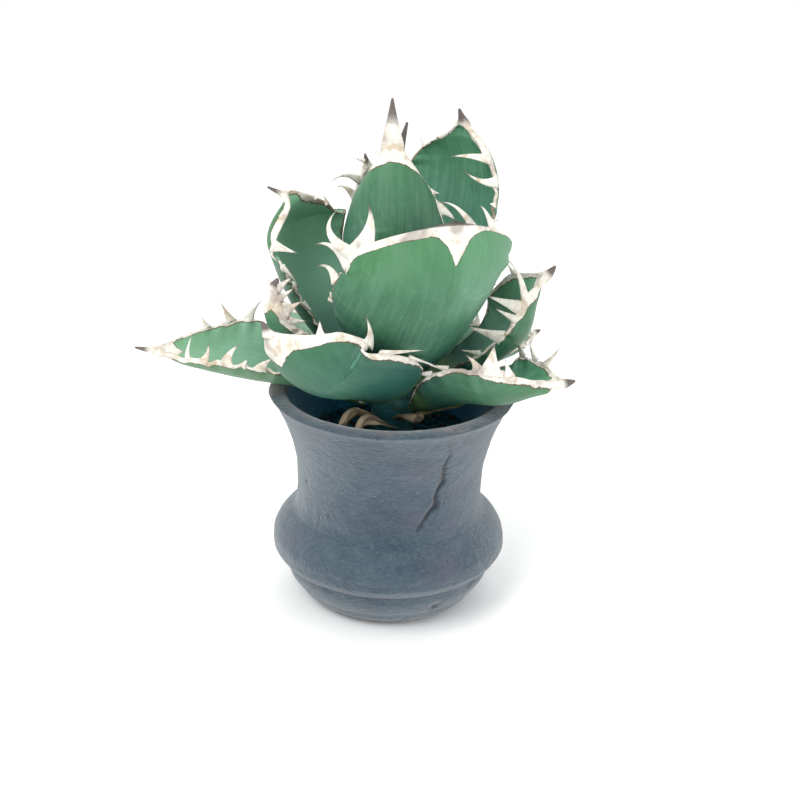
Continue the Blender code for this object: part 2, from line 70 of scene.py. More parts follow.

# ---------------------------------------------------------------- the leaves (millimetres, degrees)
# path: (compass angle from the front, distance from the axis, height above the rim)
# wide: (place along the leaf, half width over the curve)      cup: (place, half angle of the curl)
# horn: (place, width of the horny margin)      cap: (place, slope, power) of the horn's edge at the tip
# brown: (side, from place, to place, amount) of browned margin
# light: (from side, to side, from place, amount, face 1 inner -1 outer) of painted light, a paler patch
# standing in for light that reaches a shaded face
# teeth: (place, side, half base, reach, bow), reach and bow both as (outward, to the tip, inward)
# marks: (side, run, radius, from angle, to angle) of prints left in the bud
# sides: share of the half width on the left and on the right, a number or (place, share) rows
# twist: (place, degrees) of turn about the leaf's own line
# level: 0 keeps the leaf's across direction square to its line, 1 keeps it horizontal
# thick: times LEAF_THICKNESS      keel: millimetres added along the middle of the outer face
# horn_right: times the horn's width on the right side
LEAVES = {
    "leaf_tall": dict(
        path=((-8, 13, 16), (-6, 25, 46), (-5, 28, 75), (-8, 19, 105), (-60, 4, 138)),
        wide=((0, 10), (0.3, 23), (0.52, 29), (0.66, 25), (0.75, 15), (0.82, 6.5), (0.88, 3.4),
              (0.94, 1.8), (1, 0.4)),
        cup=((0, 60), (0.5, 66), (0.8, 75), (1, 40)),
        horn=((0, 0.8), (0.45, 1.0), (0.62, 1.8), (0.72, 1.4), (0.8, 3), (1, 5)),
        cap=(0.77, -0.25, 1),
        teeth=(
            (0.63, 1, 4, (5.5, -5.5, -6.5), (0, 1, 0)),
            (0.69, 1, 1.6, (2, -0.5, -3.5), (0, 0, 0)),
        ),
        marks=((-4, 62, 9, 200, 350), (6, 52, 12, 20, 150), (-6, 78, 8, 180, 300)),
        spine_from=0.84,
    ),
    "leaf_bud": dict(
        path=((-147, 4, 46), (-147, 7, 74), (-150, 5, 100), (120, 4, 127)),
        wide=((0, 4), (0.4, 8), (0.7, 5), (0.88, 1.8), (1, 0.5)),
        cup=((0, 60), (0.5, 75), (1, 40)),
        horn=((0, 0.5), (1, 3)),
        cap=(0.62, 0.5, 1),
        teeth=(),
        spine_from=0.70,
    ),
    "leaf_right_back": dict(
        path=((138, 13, 16), (134, 33, 46), (131, 45, 78), (129, 45, 106), (127, 34, 131)),
        wide=((0, 10), (0.3, 30), (0.5, 38), (0.7, 36), (0.84, 26), (0.91, 9), (0.95, 2.6), (1, 0.5)),
        cup=((0, 60), (0.5, 58), (1, 40)),
        horn=((0, 0.4), (0.4, 0.8), (0.7, 1.2), (0.86, 2.2), (1, 4)),
        horn_right=0.4,
        brown=((-1, 0.2, 0.70, 0.75), (1, 0.4, 0.86, 0.85)),
        cap=(0.93, 1.4, 1),
        teeth=(
            (0.86, -1, 3.6, (1.5, 6, 16.5), (0, 1, 0)),
            (0.78, -1, 3, (0.5, 6.5, 14), (0, -2, 0)),
            (0.69, -1, 2, (-0.5, 1.5, -1), (0, 0, 0)),
            (0.61, -1, 2, (-1.5, 1, -3.5), (0, 0, 0)),
            (0.85, 1, 1.6, (1, 3.5, -1), (0, 0, 0)),
        ),
        marks=((-8, 60, 14, 90, 200), (-2, 80, 10, 100, 260)),
        wave=0.5,
    ),
    "leaf_left_back": dict(
        path=((-168, 13, 12), (-168, 34, 40), (-168, 46, 68), (-163, 46, 90), (-152, 35, 107)),
        wide=((0, 8), (0.3, 25), (0.55, 29), (0.75, 19), (0.88, 6), (0.94, 2.5), (1, 0.5)),
        cup=((0, 60), (0.5, 58), (1, 40)),
        sides=(0.5, 0.6),
        horn=((0, 0.5), (0.5, 1.2), (0.85, 2.5), (1, 4)),
        cap=(0.90, 1.0, 1),
        teeth=(
            (0.85, 1, 2.6, (13, 3, -5), (0, 4, 0)),
            (0.78, 1, 2.4, (6.5, 5.5, -4), (0, 2.5, 0)),
            (0.96, 1, 1.6, (4, 2.5, -3), (0, 0, 0)),
        ),
        wave=0.4,
    ),
    "leaf_left": dict(
        path=((-104, 14, 8), (-106, 38, 26), (-107, 54, 50), (-103, 57, 73), (-96, 51, 89), (-91, 60, 96)),
        wide=((0, 8), (0.3, 27), (0.55, 35), (0.7, 36), (0.82, 29), (0.89, 10), (0.93, 2.2), (1, 0.5)),
        cup=((0, 60), (0.5, 62), (1, 50)),
        horn=((0, 0.4), (0.4, 0.7), (0.8, 1.0), (0.93, 2.4), (1, 4)),
        cap=(0.90, 1.2, 1),
        brown=((-1, 0.5, 0.86, 0.75), (1, 0.3, 0.62, 0.35)),
        teeth=(
            (0.82, 1, 3.2, (6.5, 3.5, 9.5), (0, 0, 0)),
            (0.68, 1, 3, (6.5, -6, 3), (0, 0, 0)),
            (0.51, 1, 2.4, (0.5, -4, -0.5), (0, 0.6, 0)),
            (0.38, 1, 1.6, (1, -5.5, 1), (0, 0, 0)),
            (0.84, -1, 1.6, (-2.5, 3, -2), (0, 0, 0)),
            (0.86, -1, 1.4, (-1.5, 1, -1), (0, 0, 0)),
        ),
        marks=((4, 52, 10, 30, 200), (12, 66, 8, 100, 250)),
        wave=0.4,
        sides=(((0, 0.95), (0.5, 1.08), (0.72, 1.14), (0.83, 0.95), (0.9, 0.7), (1, 1.0)), 0.85),
        light=((-60, 60, -1, 0.8, 1),),
        twist=((0, 0), (0.5, -2), (1, -10)),
    ),
    "leaf_front": dict(
        path=((10, 14, 8), (16, 37, 26), (20, 52, 47), (24, 57, 66), (28, 54, 80), (31, 48, 92)),
        wide=((0, 6), (0.2, 33), (0.4, 45), (0.6, 49), (0.8, 48), (0.94, 45), (0.972, 37),
              (0.99, 13), (0.996, 4), (1, 0.6)),
        cup=((0, 60), (0.5, 70), (0.85, 64), (1, 50)),
        horn=((0, 0.4), (0.4, 0.6), (0.62, 0.9), (0.8, 1.2), (0.9, 1.7), (1, 2.4)),
        cap=(0.81, 3.6, 0.62),
        keel=0.2,
        light=((1, 60, 0.45, 0.24, -1),),
        brown=((-1, 0.25, 0.72, 0.8), (1, 0.30, 0.8, 0.4)),
        teeth=(
            (0.95, -1, 3.5, (0, 21.5, -4.5), (4, 0, -8)),
            (0.97, -1, 7, (-5, 17.5, -1.5), (-1, 0, 2)),
            (0.87, -1, 3, (13, 9.5, -9), (0, 4, 0)),
            (0.65, -1, 2.6, (9.5, 2, -4.5), (0, 3, 0)),
            (0.99, 1, 3.5, (-10.5, 11.5, 13), (0, 4, 0)),
            (0.98, 1, 3.5, (-5.5, 12, 5), (0, 3, 0)),
            (0.73, 1, 2, (-0.5, -0.5, -2.5), (0, 0, 0)),
            (0.57, 1, 2, (-2, -0.5, -3.5), (0, 0, 0)),
            (0.48, -1, 2, (2, 0.5, -0.5), (0, 0.8, 0)),
        ),
        marks=((20, 84, 16, 200, 330), (24, 80, 12, 190, 300), (26, 60, 18, 250, 350)),
        wave=0.3,
        tone=0.05,
        spine_from=0.97,
        sides=(((0, 0.75), (0.3, 0.9), (0.5, 1.05), (1, 1.05)), 0.94),
        level=0.85,
    ),
    "leaf_front_left": dict(
        path=((-30, 14, -3), (-31, 39, 9), (-40, 57, 15), (-46, 69, 31), (-49, 76, 48)),
        wide=((0, 6), (0.25, 34), (0.5, 38), (0.76, 30), (0.87, 13), (0.93, 3), (1, 0.5)),
        cup=((0, 55), (0.5, 68), (1, 50)),
        sides=(0.55, 1.15),
        horn=((0, 0.4), (0.35, 0.6), (0.5, 1.6), (0.6, 3.0), (0.75, 3.6), (1, 5)),
        cap=(0.74, 0.7, 1),
        teeth=(
            (0.54, 1, 4.5, (9.5, 6, 4.5), (0, -1.5, 0)),
            (0.39, 1, 4.5, (5, -18.5, -5), (0, 0, 0)),
            (0.31, 1, 4, (1.5, -10.5, -7.5), (0, 0, 0)),
            (0.09, 1, 3.5, (4, -3.5, -3.5), (0, 0, 0)),
            (0.83, 1, 2.5, (3, 5.5, 1), (0, 0, 0)),
        ),
        wave=0.2,
        tone=-0.45,
    ),
    "leaf_right": dict(
        path=((93, 14, 1), (92, 41, 12), (91, 61, 29), (91, 66, 49), (90, 75, 63)),
        wide=((0, 7), (0.3, 22), (0.6, 26), (0.8, 16), (0.9, 5), (1, 0.5)),
        cup=((0, 55), (0.5, 62), (1, 40)),
        horn=((0, 0.4), (0.5, 0.8), (0.8, 1.7), (1, 3.4)),
        cap=(0.84, 0.9, 1),
        teeth=(
            (0.82, -1, 2.6, (12.5, 13, 11.5), (0, 3, 0)),
            (0.78, -1, 4, (14.5, 3, 9), (0, 0, 0)),
            (0.55, -1, 4, (14, -6.5, 6), (0, 0, 0)),
            (0.73, -1, 2.2, (8.5, 4, 5), (0, 0, 0)),
            (0.83, 1, 1.8, (5, 2.5, 0), (0, 0, 0)),
            (0.38, -1, 1.8, (6, -6.5, 2.5), (0, 0, 0)),
        ),
        wave=0.4,
        light=((-60, 60, -1, 0.35, 1),),
        sides=(1.0, ((0, 0.85), (0.4, 0.95), (0.65, 1.35), (0.8, 1.45), (1, 1.1))),
    ),
    "leaf_left_short": dict(
        path=((-70, 14, 5), (-71, 38, 19), (-71, 56, 32), (-70, 61, 46), (-69, 57, 59)),
        wide=((0, 6), (0.3, 15), (0.6, 19), (0.83, 14), (0.92, 5), (1, 0.5)),
        cup=((0, 55), (0.5, 60), (1, 40)),
        sides=(0.5, 1.0),
        horn=((0, 0.8), (0.5, 2.6), (0.8, 4), (1, 5)),
        cap=(0.78, 0.6, 1),
        teeth=(
            (0.96, 1, 2.6, (3, 6.5, 2), (0, 0.5, 0)),
            (0.91, 1, 2.6, (4, 7.5, 2.5), (0, 0, 0)),
            (0.85, 1, 3, (6, 6, 3), (0, 0.8, 0)),
            (0.78, 1, 2.2, (7, -0.5, 2), (0, 0, 0)),
            (0.94, -1, 2, (0, 1.5, -4.5), (0, 0, 0)),
        ),
        wave=0.5,
        tone=-0.2,
    ),
    "leaf_left_low": dict(
        path=((-90, 14, -9), (-88, 42, 3), (-87, 72, 9), (-86, 100, 15), (-85, 123, 20)),
        wide=((0, 7), (0.3, 25), (0.52, 30), (0.76, 17), (0.90, 4), (0.94, 1.8), (1, 0.5)),
        cup=((0, 50), (0.5, 58), (1, 40)),
        twist=((0, 0), (0.4, -7), (1, -7)),
        horn=((0, 0.4), (0.3, 0.6), (0.6, 1.2), (0.85, 1.8), (1, 3.4)),
        cap=(0.80, 0.8, 1),
        teeth=(
            (0.62, 1, 4, (7.5, -4.5, 7), (0, 1.2, 0)),
            (0.71, 1, 2.6, (5.5, 0, 6.5), (0, -0.8, 0)),
            (0.78, 1, 1.6, (7, -0.5, 9.5), (0, 0.8, 0)),
            (0.47, 1, 3.6, (4.5, -5.5, 4), (0, 0.8, 0)),
            (0.55, 1, 2, (3, -1.5, 2.5), (0, 0, 0)),
            (0.63, -1, 3, (7.5, 6, 0.5), (0, 0, 0)),
            (0.55, -1, 3, (9.5, -4.5, 1), (0, 0.5, 0)),
            (0.72, -1, 2, (4.5, 4, 0.5), (0, 0, 0)),
        ),
        wave=0.7,
        tone=0.4,
        light=((-60, 60, -1, 0.3, 1),),
    ),
    "leaf_right_low": dict(
        path=((55, 14, -8), (57, 42, 4), (59, 62, 8), (62, 78, 15), (64, 92, 21)),
        wide=((0, 6), (0.3, 26), (0.6, 32), (0.8, 19), (0.92, 4), (1, 0.5)),
        cup=((0, 50), (0.5, 68), (1, 45)),
        sides=(1.08, ((0, 0.8), (0.45, 0.8), (0.7, 1.02), (1, 1.1))),
        twist=((0, 0), (0.4, -6), (1, 6)),
        horn=((0, 0.4), (0.3, 0.6), (0.6, 1.5), (0.85, 1.8), (1, 3.4)),
        cap=(0.82, 0.8, 1),
        teeth=(
            (0.67, -1, 6.5, (9.5, 5, 4), (0, 0, 0)),
            (0.59, -1, 4, (7, -4.5, 1), (0, 0.8, 0)),
            (0.41, -1, 3, (3.5, -8.5, -2), (0, 0.5, 0)),
            (0.33, -1, 3, (3.5, -10, -3), (0, 1, 0)),
            (0.74, -1, 2.6, (7, 1, 2.5), (0, 0, 0)),
            (0.83, 1, 2.4, (6.5, 8, 0), (0, 0.8, 0)),
            (0.77, 1, 2.4, (9, 0, 2), (0, -0.6, 0)),
            (0.67, 1, 2.4, (10.5, -1.5, 2.5), (0, 0, 0)),
        ),
        wave=0.7,
        tone=0.15,
    ),
    "leaf_back_right": dict(
        path=((153, 14, -1), (152, 42, 18), (151, 62, 40), (151, 72, 62), (151, 76, 76)),
        wide=((0, 7), (0.3, 23), (0.6, 32), (0.8, 23), (0.9, 8), (0.95, 2.6), (1, 0.5)),
        cup=((0, 50), (0.5, 55), (1, 35)),
        horn=((0, 0.6), (0.5, 1.6), (0.85, 2.6), (1, 4)),
        cap=(0.82, 0.9, 1),
        teeth=(
            (0.7, -1, 3.4, (7, 2, 2), (0, 1, 0)),
            (0.56, -1, 3.2, (7, -2, 2), (0, -1, 0)),
            (0.42, -1, 2.6, (5, -1, 1.5), (0, 0.6, 0)),
            (0.28, -1, 2, (4, 1, 1), (0, 0, 0)),
            (0.68, 1, 3.4, (8, 3, 2), (0, -1, 0)),
            (0.52, 1, 3.2, (7, 1, 2), (0, 1, 0)),
            (0.38, 1, 2.6, (5, -1.5, 1.5), (0, 0, 0)),
            (0.25, 1, 2, (4, 0, 1), (0, 0, 0)),
        ),
        marks=((3, 50, 12, 30, 200),),
        wave=0.5,
    ),
    "leaf_back_left": dict(
        path=((-141, 14, 0), (-141, 42, 16), (-141, 63, 36), (-140, 74, 54), (-138, 80, 66)),
        wide=((0, 7), (0.3, 23), (0.6, 33), (0.8, 23), (0.9, 8), (0.95, 2.6), (1, 0.5)),
        cup=((0, 50), (0.5, 55), (1, 35)),
        horn=((0, 0.6), (0.5, 1.6), (0.85, 2.6), (1, 4)),
        cap=(0.82, 0.9, 1),
        teeth=(
            (0.69, -1, 3.4, (8, 3, 2), (0, -1.2, 0)),
            (0.54, -1, 3.0, (7, 0, 2), (0, 1, 0)),
            (0.4, -1, 2.6, (5, -2, 1.5), (0, 0, 0)),
            (0.27, -1, 2, (4, 0, 1), (0, 0, 0)),
            (0.71, 1, 3.4, (7, 2, 2), (0, 1, 0)),
            (0.57, 1, 3.2, (8, -2, 2), (0, -1, 0)),
            (0.43, 1, 2.6, (5, 1, 1.5), (0, 0.6, 0)),
            (0.3, 1, 2, (4, 0, 1), (0, 0, 0)),
        ),
        marks=((-3, 52, 12, 30, 200),),
        wave=0.5,
    ),
    "leaf_back_right_low": dict(
        path=((119, 14, -8), (122, 44, 4), (123, 66, 9), (124, 82, 12), (124, 92, 14)),
        wide=((0, 6), (0.3, 16), (0.6, 23), (0.8, 14), (0.91, 4), (0.95, 2), (1, 0.5)),
        cup=((0, 45), (0.5, 50), (1, 35)),
        horn=((0, 0.6), (0.5, 1.4), (0.85, 2.4), (1, 4)),
        cap=(0.82, 0.9, 1),
        teeth=(
            (0.7, -1, 2.6, (5, 3, 2), (0, 0.8, 0)),
            (0.56, -1, 2.8, (6, 1, 2.5), (0, -0.8, 0)),
            (0.42, -1, 2.4, (5, -1, 2), (0, 0, 0)),
            (0.68, 1, 2.6, (5, 2, 2), (0, 0.8, 0)),
            (0.54, 1, 2.8, (6, 0, 2.5), (0, 0.8, 0)),
            (0.4, 1, 2.4, (4, -1, 2), (0, 0, 0)),
        ),
        wave=0.6,
        tone=0.3,
    ),
    "leaf_back_left_low": dict(
        path=((-144, 14, -8), (-143, 44, 5), (-142, 70, 10), (-141, 88, 14), (-141, 100, 18)),
        wide=((0, 6), (0.3, 16), (0.6, 24), (0.8, 14), (0.91, 4), (0.95, 2), (1, 0.5)),
        cup=((0, 45), (0.5, 50), (1, 35)),
        horn=((0, 0.6), (0.5, 1.4), (0.85, 2.4), (1, 4)),
        cap=(0.82, 0.9, 1),
        teeth=(
            (0.69, -1, 2.6, (5, 2, 2), (0, 0.8, 0)),
            (0.55, -1, 2.8, (6, 0, 2.5), (0, 0.8, 0)),
            (0.41, -1, 2.4, (5, -1, 2), (0, 0, 0)),
            (0.7, 1, 2.6, (5, 3, 2), (0, -0.8, 0)),
            (0.57, 1, 2.8, (6, 1, 2.5), (0, 0.8, 0)),
            (0.43, 1, 2.4, (4, -1, 2), (0, 0, 0)),
        ),
        wave=0.6,
        tone=0.4,
    ),
    "leaf_back_low": dict(
        path=((170, 14, -11), (171, 44, 1.5), (172, 70, 8), (172, 92, 14), (172, 104, 19)),
        wide=((0, 6), (0.3, 14), (0.6, 23), (0.8, 14), (0.91, 4), (0.95, 2), (1, 0.5)),
        cup=((0, 45), (0.5, 50), (1, 35)),
        horn=((0, 0.6), (0.5, 1.4), (0.85, 2.4), (1, 4)),
        cap=(0.82, 0.9, 1),
        teeth=(
            (0.71, -1, 2.6, (5, 3, 2), (0, 0.8, 0)),
            (0.57, -1, 2.8, (6, 0, 2.5), (0, -0.8, 0)),
            (0.43, -1, 2.4, (5, -1, 2), (0, 0, 0)),
            (0.69, 1, 2.6, (5, 2, 2), (0, 0.8, 0)),
            (0.55, 1, 2.8, (6, 1, 2.5), (0, 0.8, 0)),
            (0.41, 1, 2.4, (4, -1, 2), (0, 0, 0)),
        ),
        wave=0.6,
        tone=0.3,
    ),
    "dry_leaf_right": dict(
        path=((84, 14, -14), (84, 42, -2), (83, 58, 3.5), (81, 68, 8), (80, 76, 13)),
        wide=((0, 4), (0.3, 9), (0.6, 9), (0.85, 5), (0.95, 2), (1, 0.5)),
        cup=((0, 30), (0.5, 35), (1, 30)),
        horn=((0, 0.5), (1, 2)),
        cap=(0.9, 0.9, 1),
        teeth=(
            (0.55, -1, 1.5, (3, 1, 1), (0, 0, 0)),
            (0.7, -1, 1.5, (3, 1, 1), (0, 0, 0)),
            (0.62, 1, 1.5, (3, 1, 1), (0, 0, 0)),
        ),
        thick=0.5,
        tone=0.8,
        dry=True,
    ),
    "dry_leaf_front": dict(
        path=((-24, 14, -14), (-25, 30, -5), (-27, 41, 0), (-29, 46, -4), (-30, 47, -11)),
        wide=((0, 2), (0.3, 3), (0.6, 3), (0.85, 2), (1, 0.8)),
        cup=((0, 40), (0.5, 60), (1, 60)),
        twist=((0, 0), (0.5, 40), (1, 110)),
        horn=((0, 0.5), (1, 1)),
        cap=(0.95, 0.9, 1),
        teeth=(),
        thick=0.4,
        dry=True,
    ),
    "dry_leaf_curl": dict(
        path=((8, 14, -17), (-6, 28, -9), (-16, 40, -2), (-19, 45, -4), (-20, 46, -11)),
        wide=((0, 2), (0.3, 2.6), (0.6, 2.6), (0.85, 1.8), (1, 0.8)),
        cup=((0, 40), (0.5, 60), (1, 60)),
        twist=((0, 0), (0.5, -40), (1, -90)),
        horn=((0, 0.5), (1, 1)),
        cap=(0.95, 0.9, 1),
        teeth=(),
        thick=0.4,
        dry=True,
    ),
    "dry_leaf_stub": dict(
        path=((22, 14, -12), (22, 20, -9), (24, 27, -6), (24, 32, -5)),
        wide=((0, 5), (0.4, 6), (0.8, 4), (1, 1.5)),
        cup=((0, 40), (1, 40)),
        horn=((0, 0.5), (1, 1)),
        cap=(0.95, 0.9, 1),
        teeth=(),
        thick=0.6,
        dry=True,
    ),
}

# ---------------------------------------------------------------- mesh making
ALONG_STEPS = 150
ACROSS_STEPS = 41
EDGE_ROUND = 0.93            # where the two faces of a leaf start to round into each other
TOOTH_RINGS = 14
TOOTH_SIDES = 12


def smooth_line(points, places):
    """Shape-keeping cubic through (place, value) points."""
    x = np.array([p[0] for p in points], float)
    y = np.array([p[1] for p in points], float)
    h = np.diff(x)
    slope = np.diff(y) / h
    m = np.zeros(len(x))
    m[0] = slope[0]
    m[-1] = slope[-1]
    for i in range(1, len(x) - 1):
        if slope[i - 1] * slope[i] > 0:
            a = 2 * h[i] + h[i - 1]
            b = h[i] + 2 * h[i - 1]
            m[i] = (a + b) / (a / slope[i - 1] + b / slope[i])
    at = np.clip(np.asarray(places, float), x[0], x[-1])
    k = np.clip(np.searchsorted(x, at, side="right") - 1, 0, len(x) - 2)
    t = (at - x[k]) / h[k]
    return ((1 + 2 * t) * (1 - t) ** 2 * y[k] + t * (1 - t) ** 2 * h[k] * m[k]
            + t * t * (3 - 2 * t) * y[k + 1] + t * t * (t - 1) * h[k] * m[k + 1])


def ramp(x, low, high):
    t = np.clip((x - low) / (high - low), 0.0, 1.0)
    return t * t * (3 - 2 * t)


def polar(angle, radius, height):
    a = math.radians(angle)
    return np.array([radius * math.sin(a), -radius * math.cos(a), height])


def unit(v):
    return v / np.maximum(np.linalg.norm(v, axis=-1, keepdims=True), 1e-12)


def midrib(path, samples=240):
    base = np.array([0.0, 0.0, POT_HEIGHT])
    pts = np.array([base + polar(a, r * MM, z * MM) for a, r, z in path])
    ends = np.vstack([2 * pts[0] - pts[1], pts, 2 * pts[-1] - pts[-2]])
    out = []
    for i in range(1, len(ends) - 2):
        p0, p1, p2, p3 = ends[i - 1:i + 3]
        for t in np.linspace(0, 1, 60, endpoint=False):
            out.append(0.5 * (2 * p1 + (p2 - p0) * t + (2 * p0 - 5 * p1 + 4 * p2 - p3) * t * t
                              + (3 * p1 - p0 - 3 * p2 + p3) * t ** 3))
    out.append(pts[-1])
    out = np.array(out)
    run = np.concatenate([[0.0], np.cumsum(np.linalg.norm(np.diff(out, axis=0), axis=1))])
    even = np.linspace(0, run[-1], samples)
    return np.stack([np.interp(even, run, out[:, k]) for k in range(3)], -1), run[-1]


def leaf_frames(spec, places):
    """Centre, along, side and inner directions of the leaf at each place, and its length."""
    line, length = midrib(spec["path"])
    grid = np.linspace(0, 1, len(line))
    tangent = unit(np.gradient(line, axis=0))
    angle = math.radians(spec["path"][len(spec["path"]) // 2][0])
    side = np.array([math.cos(angle), math.sin(angle), 0.0])
    centre = np.stack([np.interp(places, grid, line[:, k]) for k in range(3)], -1)
    along = unit(np.stack([np.interp(places, grid, tangent[:, k]) for k in range(3)], -1))
    across = unit(side - along * (along @ side)[:, None] * (1 - spec.get("level", 0.0)))
    inner = unit(np.cross(along, across))
    twist = np.radians(smooth_line(spec.get("twist", ((0, 0), (1, 0))), places))[:, None]
    across, inner = (across * np.cos(twist) + inner * np.sin(twist),
                     inner * np.cos(twist) - across * np.sin(twist))
    return centre, along, across, inner, length


def side_shares(spec, places):
    """How much of the half width the left and the right side of a leaf have at each place."""
    sides = spec.get("sides", (1.0, 1.0))
    return [smooth_line(s, places) if isinstance(s, tuple) else np.full(len(places), s) for s in sides]


def leaf_sheet(spec, places, sides_v):
    """Middle surface of a leaf on a grid of places along and positions across (-1 to 1)."""
    centre, along, across, inner, length = leaf_frames(spec, places)
    half = smooth_line(spec["wide"], places) * MM
    cup = np.radians(smooth_line(spec["cup"], places))
    left, right = side_shares(spec, places)
    share = np.where(sides_v > 0, right[:, None], left[:, None])
    turn = cup[:, None] * sides_v * share
    radius = (half / cup)[:, None, None]
    sin_t, cos_t = np.sin(turn)[..., None], np.cos(turn)[..., None]
    out = across[:, None] * cos_t + inner[:, None] * sin_t
    normal = inner[:, None] * cos_t - across[:, None] * sin_t
    mid = centre[:, None] + across[:, None] * radius * sin_t + inner[:, None] * radius * (1 - cos_t)
    x = half[:, None] * sides_v * share
    return dict(mid=mid, out=out, normal=normal, along=along, half=half, x=x,
                length=length)


def wobble(points, scale, seed):
    """Smooth noise, about -1 to 1, at each point."""
    shift = Vector((seed * 7.31, seed * 3.17, seed * 1.93))
    return np.array([noise.noise(Vector(p) * scale + shift) for p in points])


def tooth(root, offset, bow, half_base, thick, wide_dir):
    """A curved horn: points and 0..1 places along it. It starts a little inside the margin."""
    t = np.linspace(0.0, 1.0, TOOTH_RINGS)
    early = half_base * 0.5 / max(float(np.linalg.norm(offset)), 1e-6)
    s = t * (1 + early) - early
    line = root + offset * s[:, None] + bow * (4 * s * (1 - s))[:, None]
    tangent = unit(np.gradient(line, axis=0))
    wide = unit(wide_dir - tangent * (tangent @ wide_dir)[:, None])
    deep = np.cross(tangent, wide)
    a = half_base * (0.50 * (1 - t) ** 2.4 + 0.50 * (1 - t) ** 0.95) + 0.00010 * (1 - t)
    c = thick * (0.45 * (1 - t) ** 1.6 + 0.5 * (1 - t) ** 0.8) * 0.5 + 0.0001 * (1 - t)
    ang = np.linspace(0, 2 * np.pi, TOOTH_SIDES, endpoint=False)
    pts = line[:, None] + wide[:, None] * (a[:, None] * np.cos(ang))[..., None] \
        + deep[:, None] * (c[:, None] * np.sin(ang))[..., None]
    pts = pts[:-1].reshape(-1, 3)
    return np.vstack([pts, line[-1:]]), np.concatenate([np.repeat(t[:-1], TOOTH_SIDES), [1.0]])


def tooth_faces(first):
    faces = [tuple(first + k for k in range(TOOTH_SIDES - 1, -1, -1))]
    for i in range(TOOTH_RINGS - 2):
        for j in range(TOOTH_SIDES):
            k = (j + 1) % TOOTH_SIDES
            a = first + i * TOOTH_SIDES
            faces.append((a + j, a + k, a + TOOTH_SIDES + k, a + TOOTH_SIDES + j))
    a = first + (TOOTH_RINGS - 2) * TOOTH_SIDES
    tip = first + (TOOTH_RINGS - 1) * TOOTH_SIDES
    for j in range(TOOTH_SIDES):
        faces.append((a + j, a + (j + 1) % TOOTH_SIDES, tip))
    return faces


def margin_distance(spec, length, x, run):
    """Distance of each point to the nearer margin, measured on the leaf laid flat."""
    u = np.concatenate([np.linspace(0.02, 0.9, 120), np.linspace(0.905, 1.0, 120)])
    half = smooth_line(spec["wide"], u) * MM
    left, right = side_shares(spec, u)
    best = np.full(x.size, 1.0)
    for reach in (-half * left, half * right):
        gap = np.hypot(x.reshape(-1, 1) - reach, run.reshape(-1, 1) - u * length)
        best = np.minimum(best, gap.min(axis=1))
    return best.reshape(x.shape)


def finish_mesh(name, verts, faces, attributes, mat, smooth=True):
    mesh = bpy.data.meshes.new(name)
    mesh.from_pydata([tuple(v) for v in verts], [], faces)
    for key, values in attributes.items():
        attr = mesh.attributes.new(key, "FLOAT", "POINT")
        attr.data.foreach_set("value", np.asarray(values, np.float32))
    mesh.materials.append(mat)
    if smooth:
        mesh.shade_smooth()
    mesh.validate()
    obj = bpy.data.objects.new(name, mesh)
    bpy.context.scene.collection.objects.link(obj)
    return obj


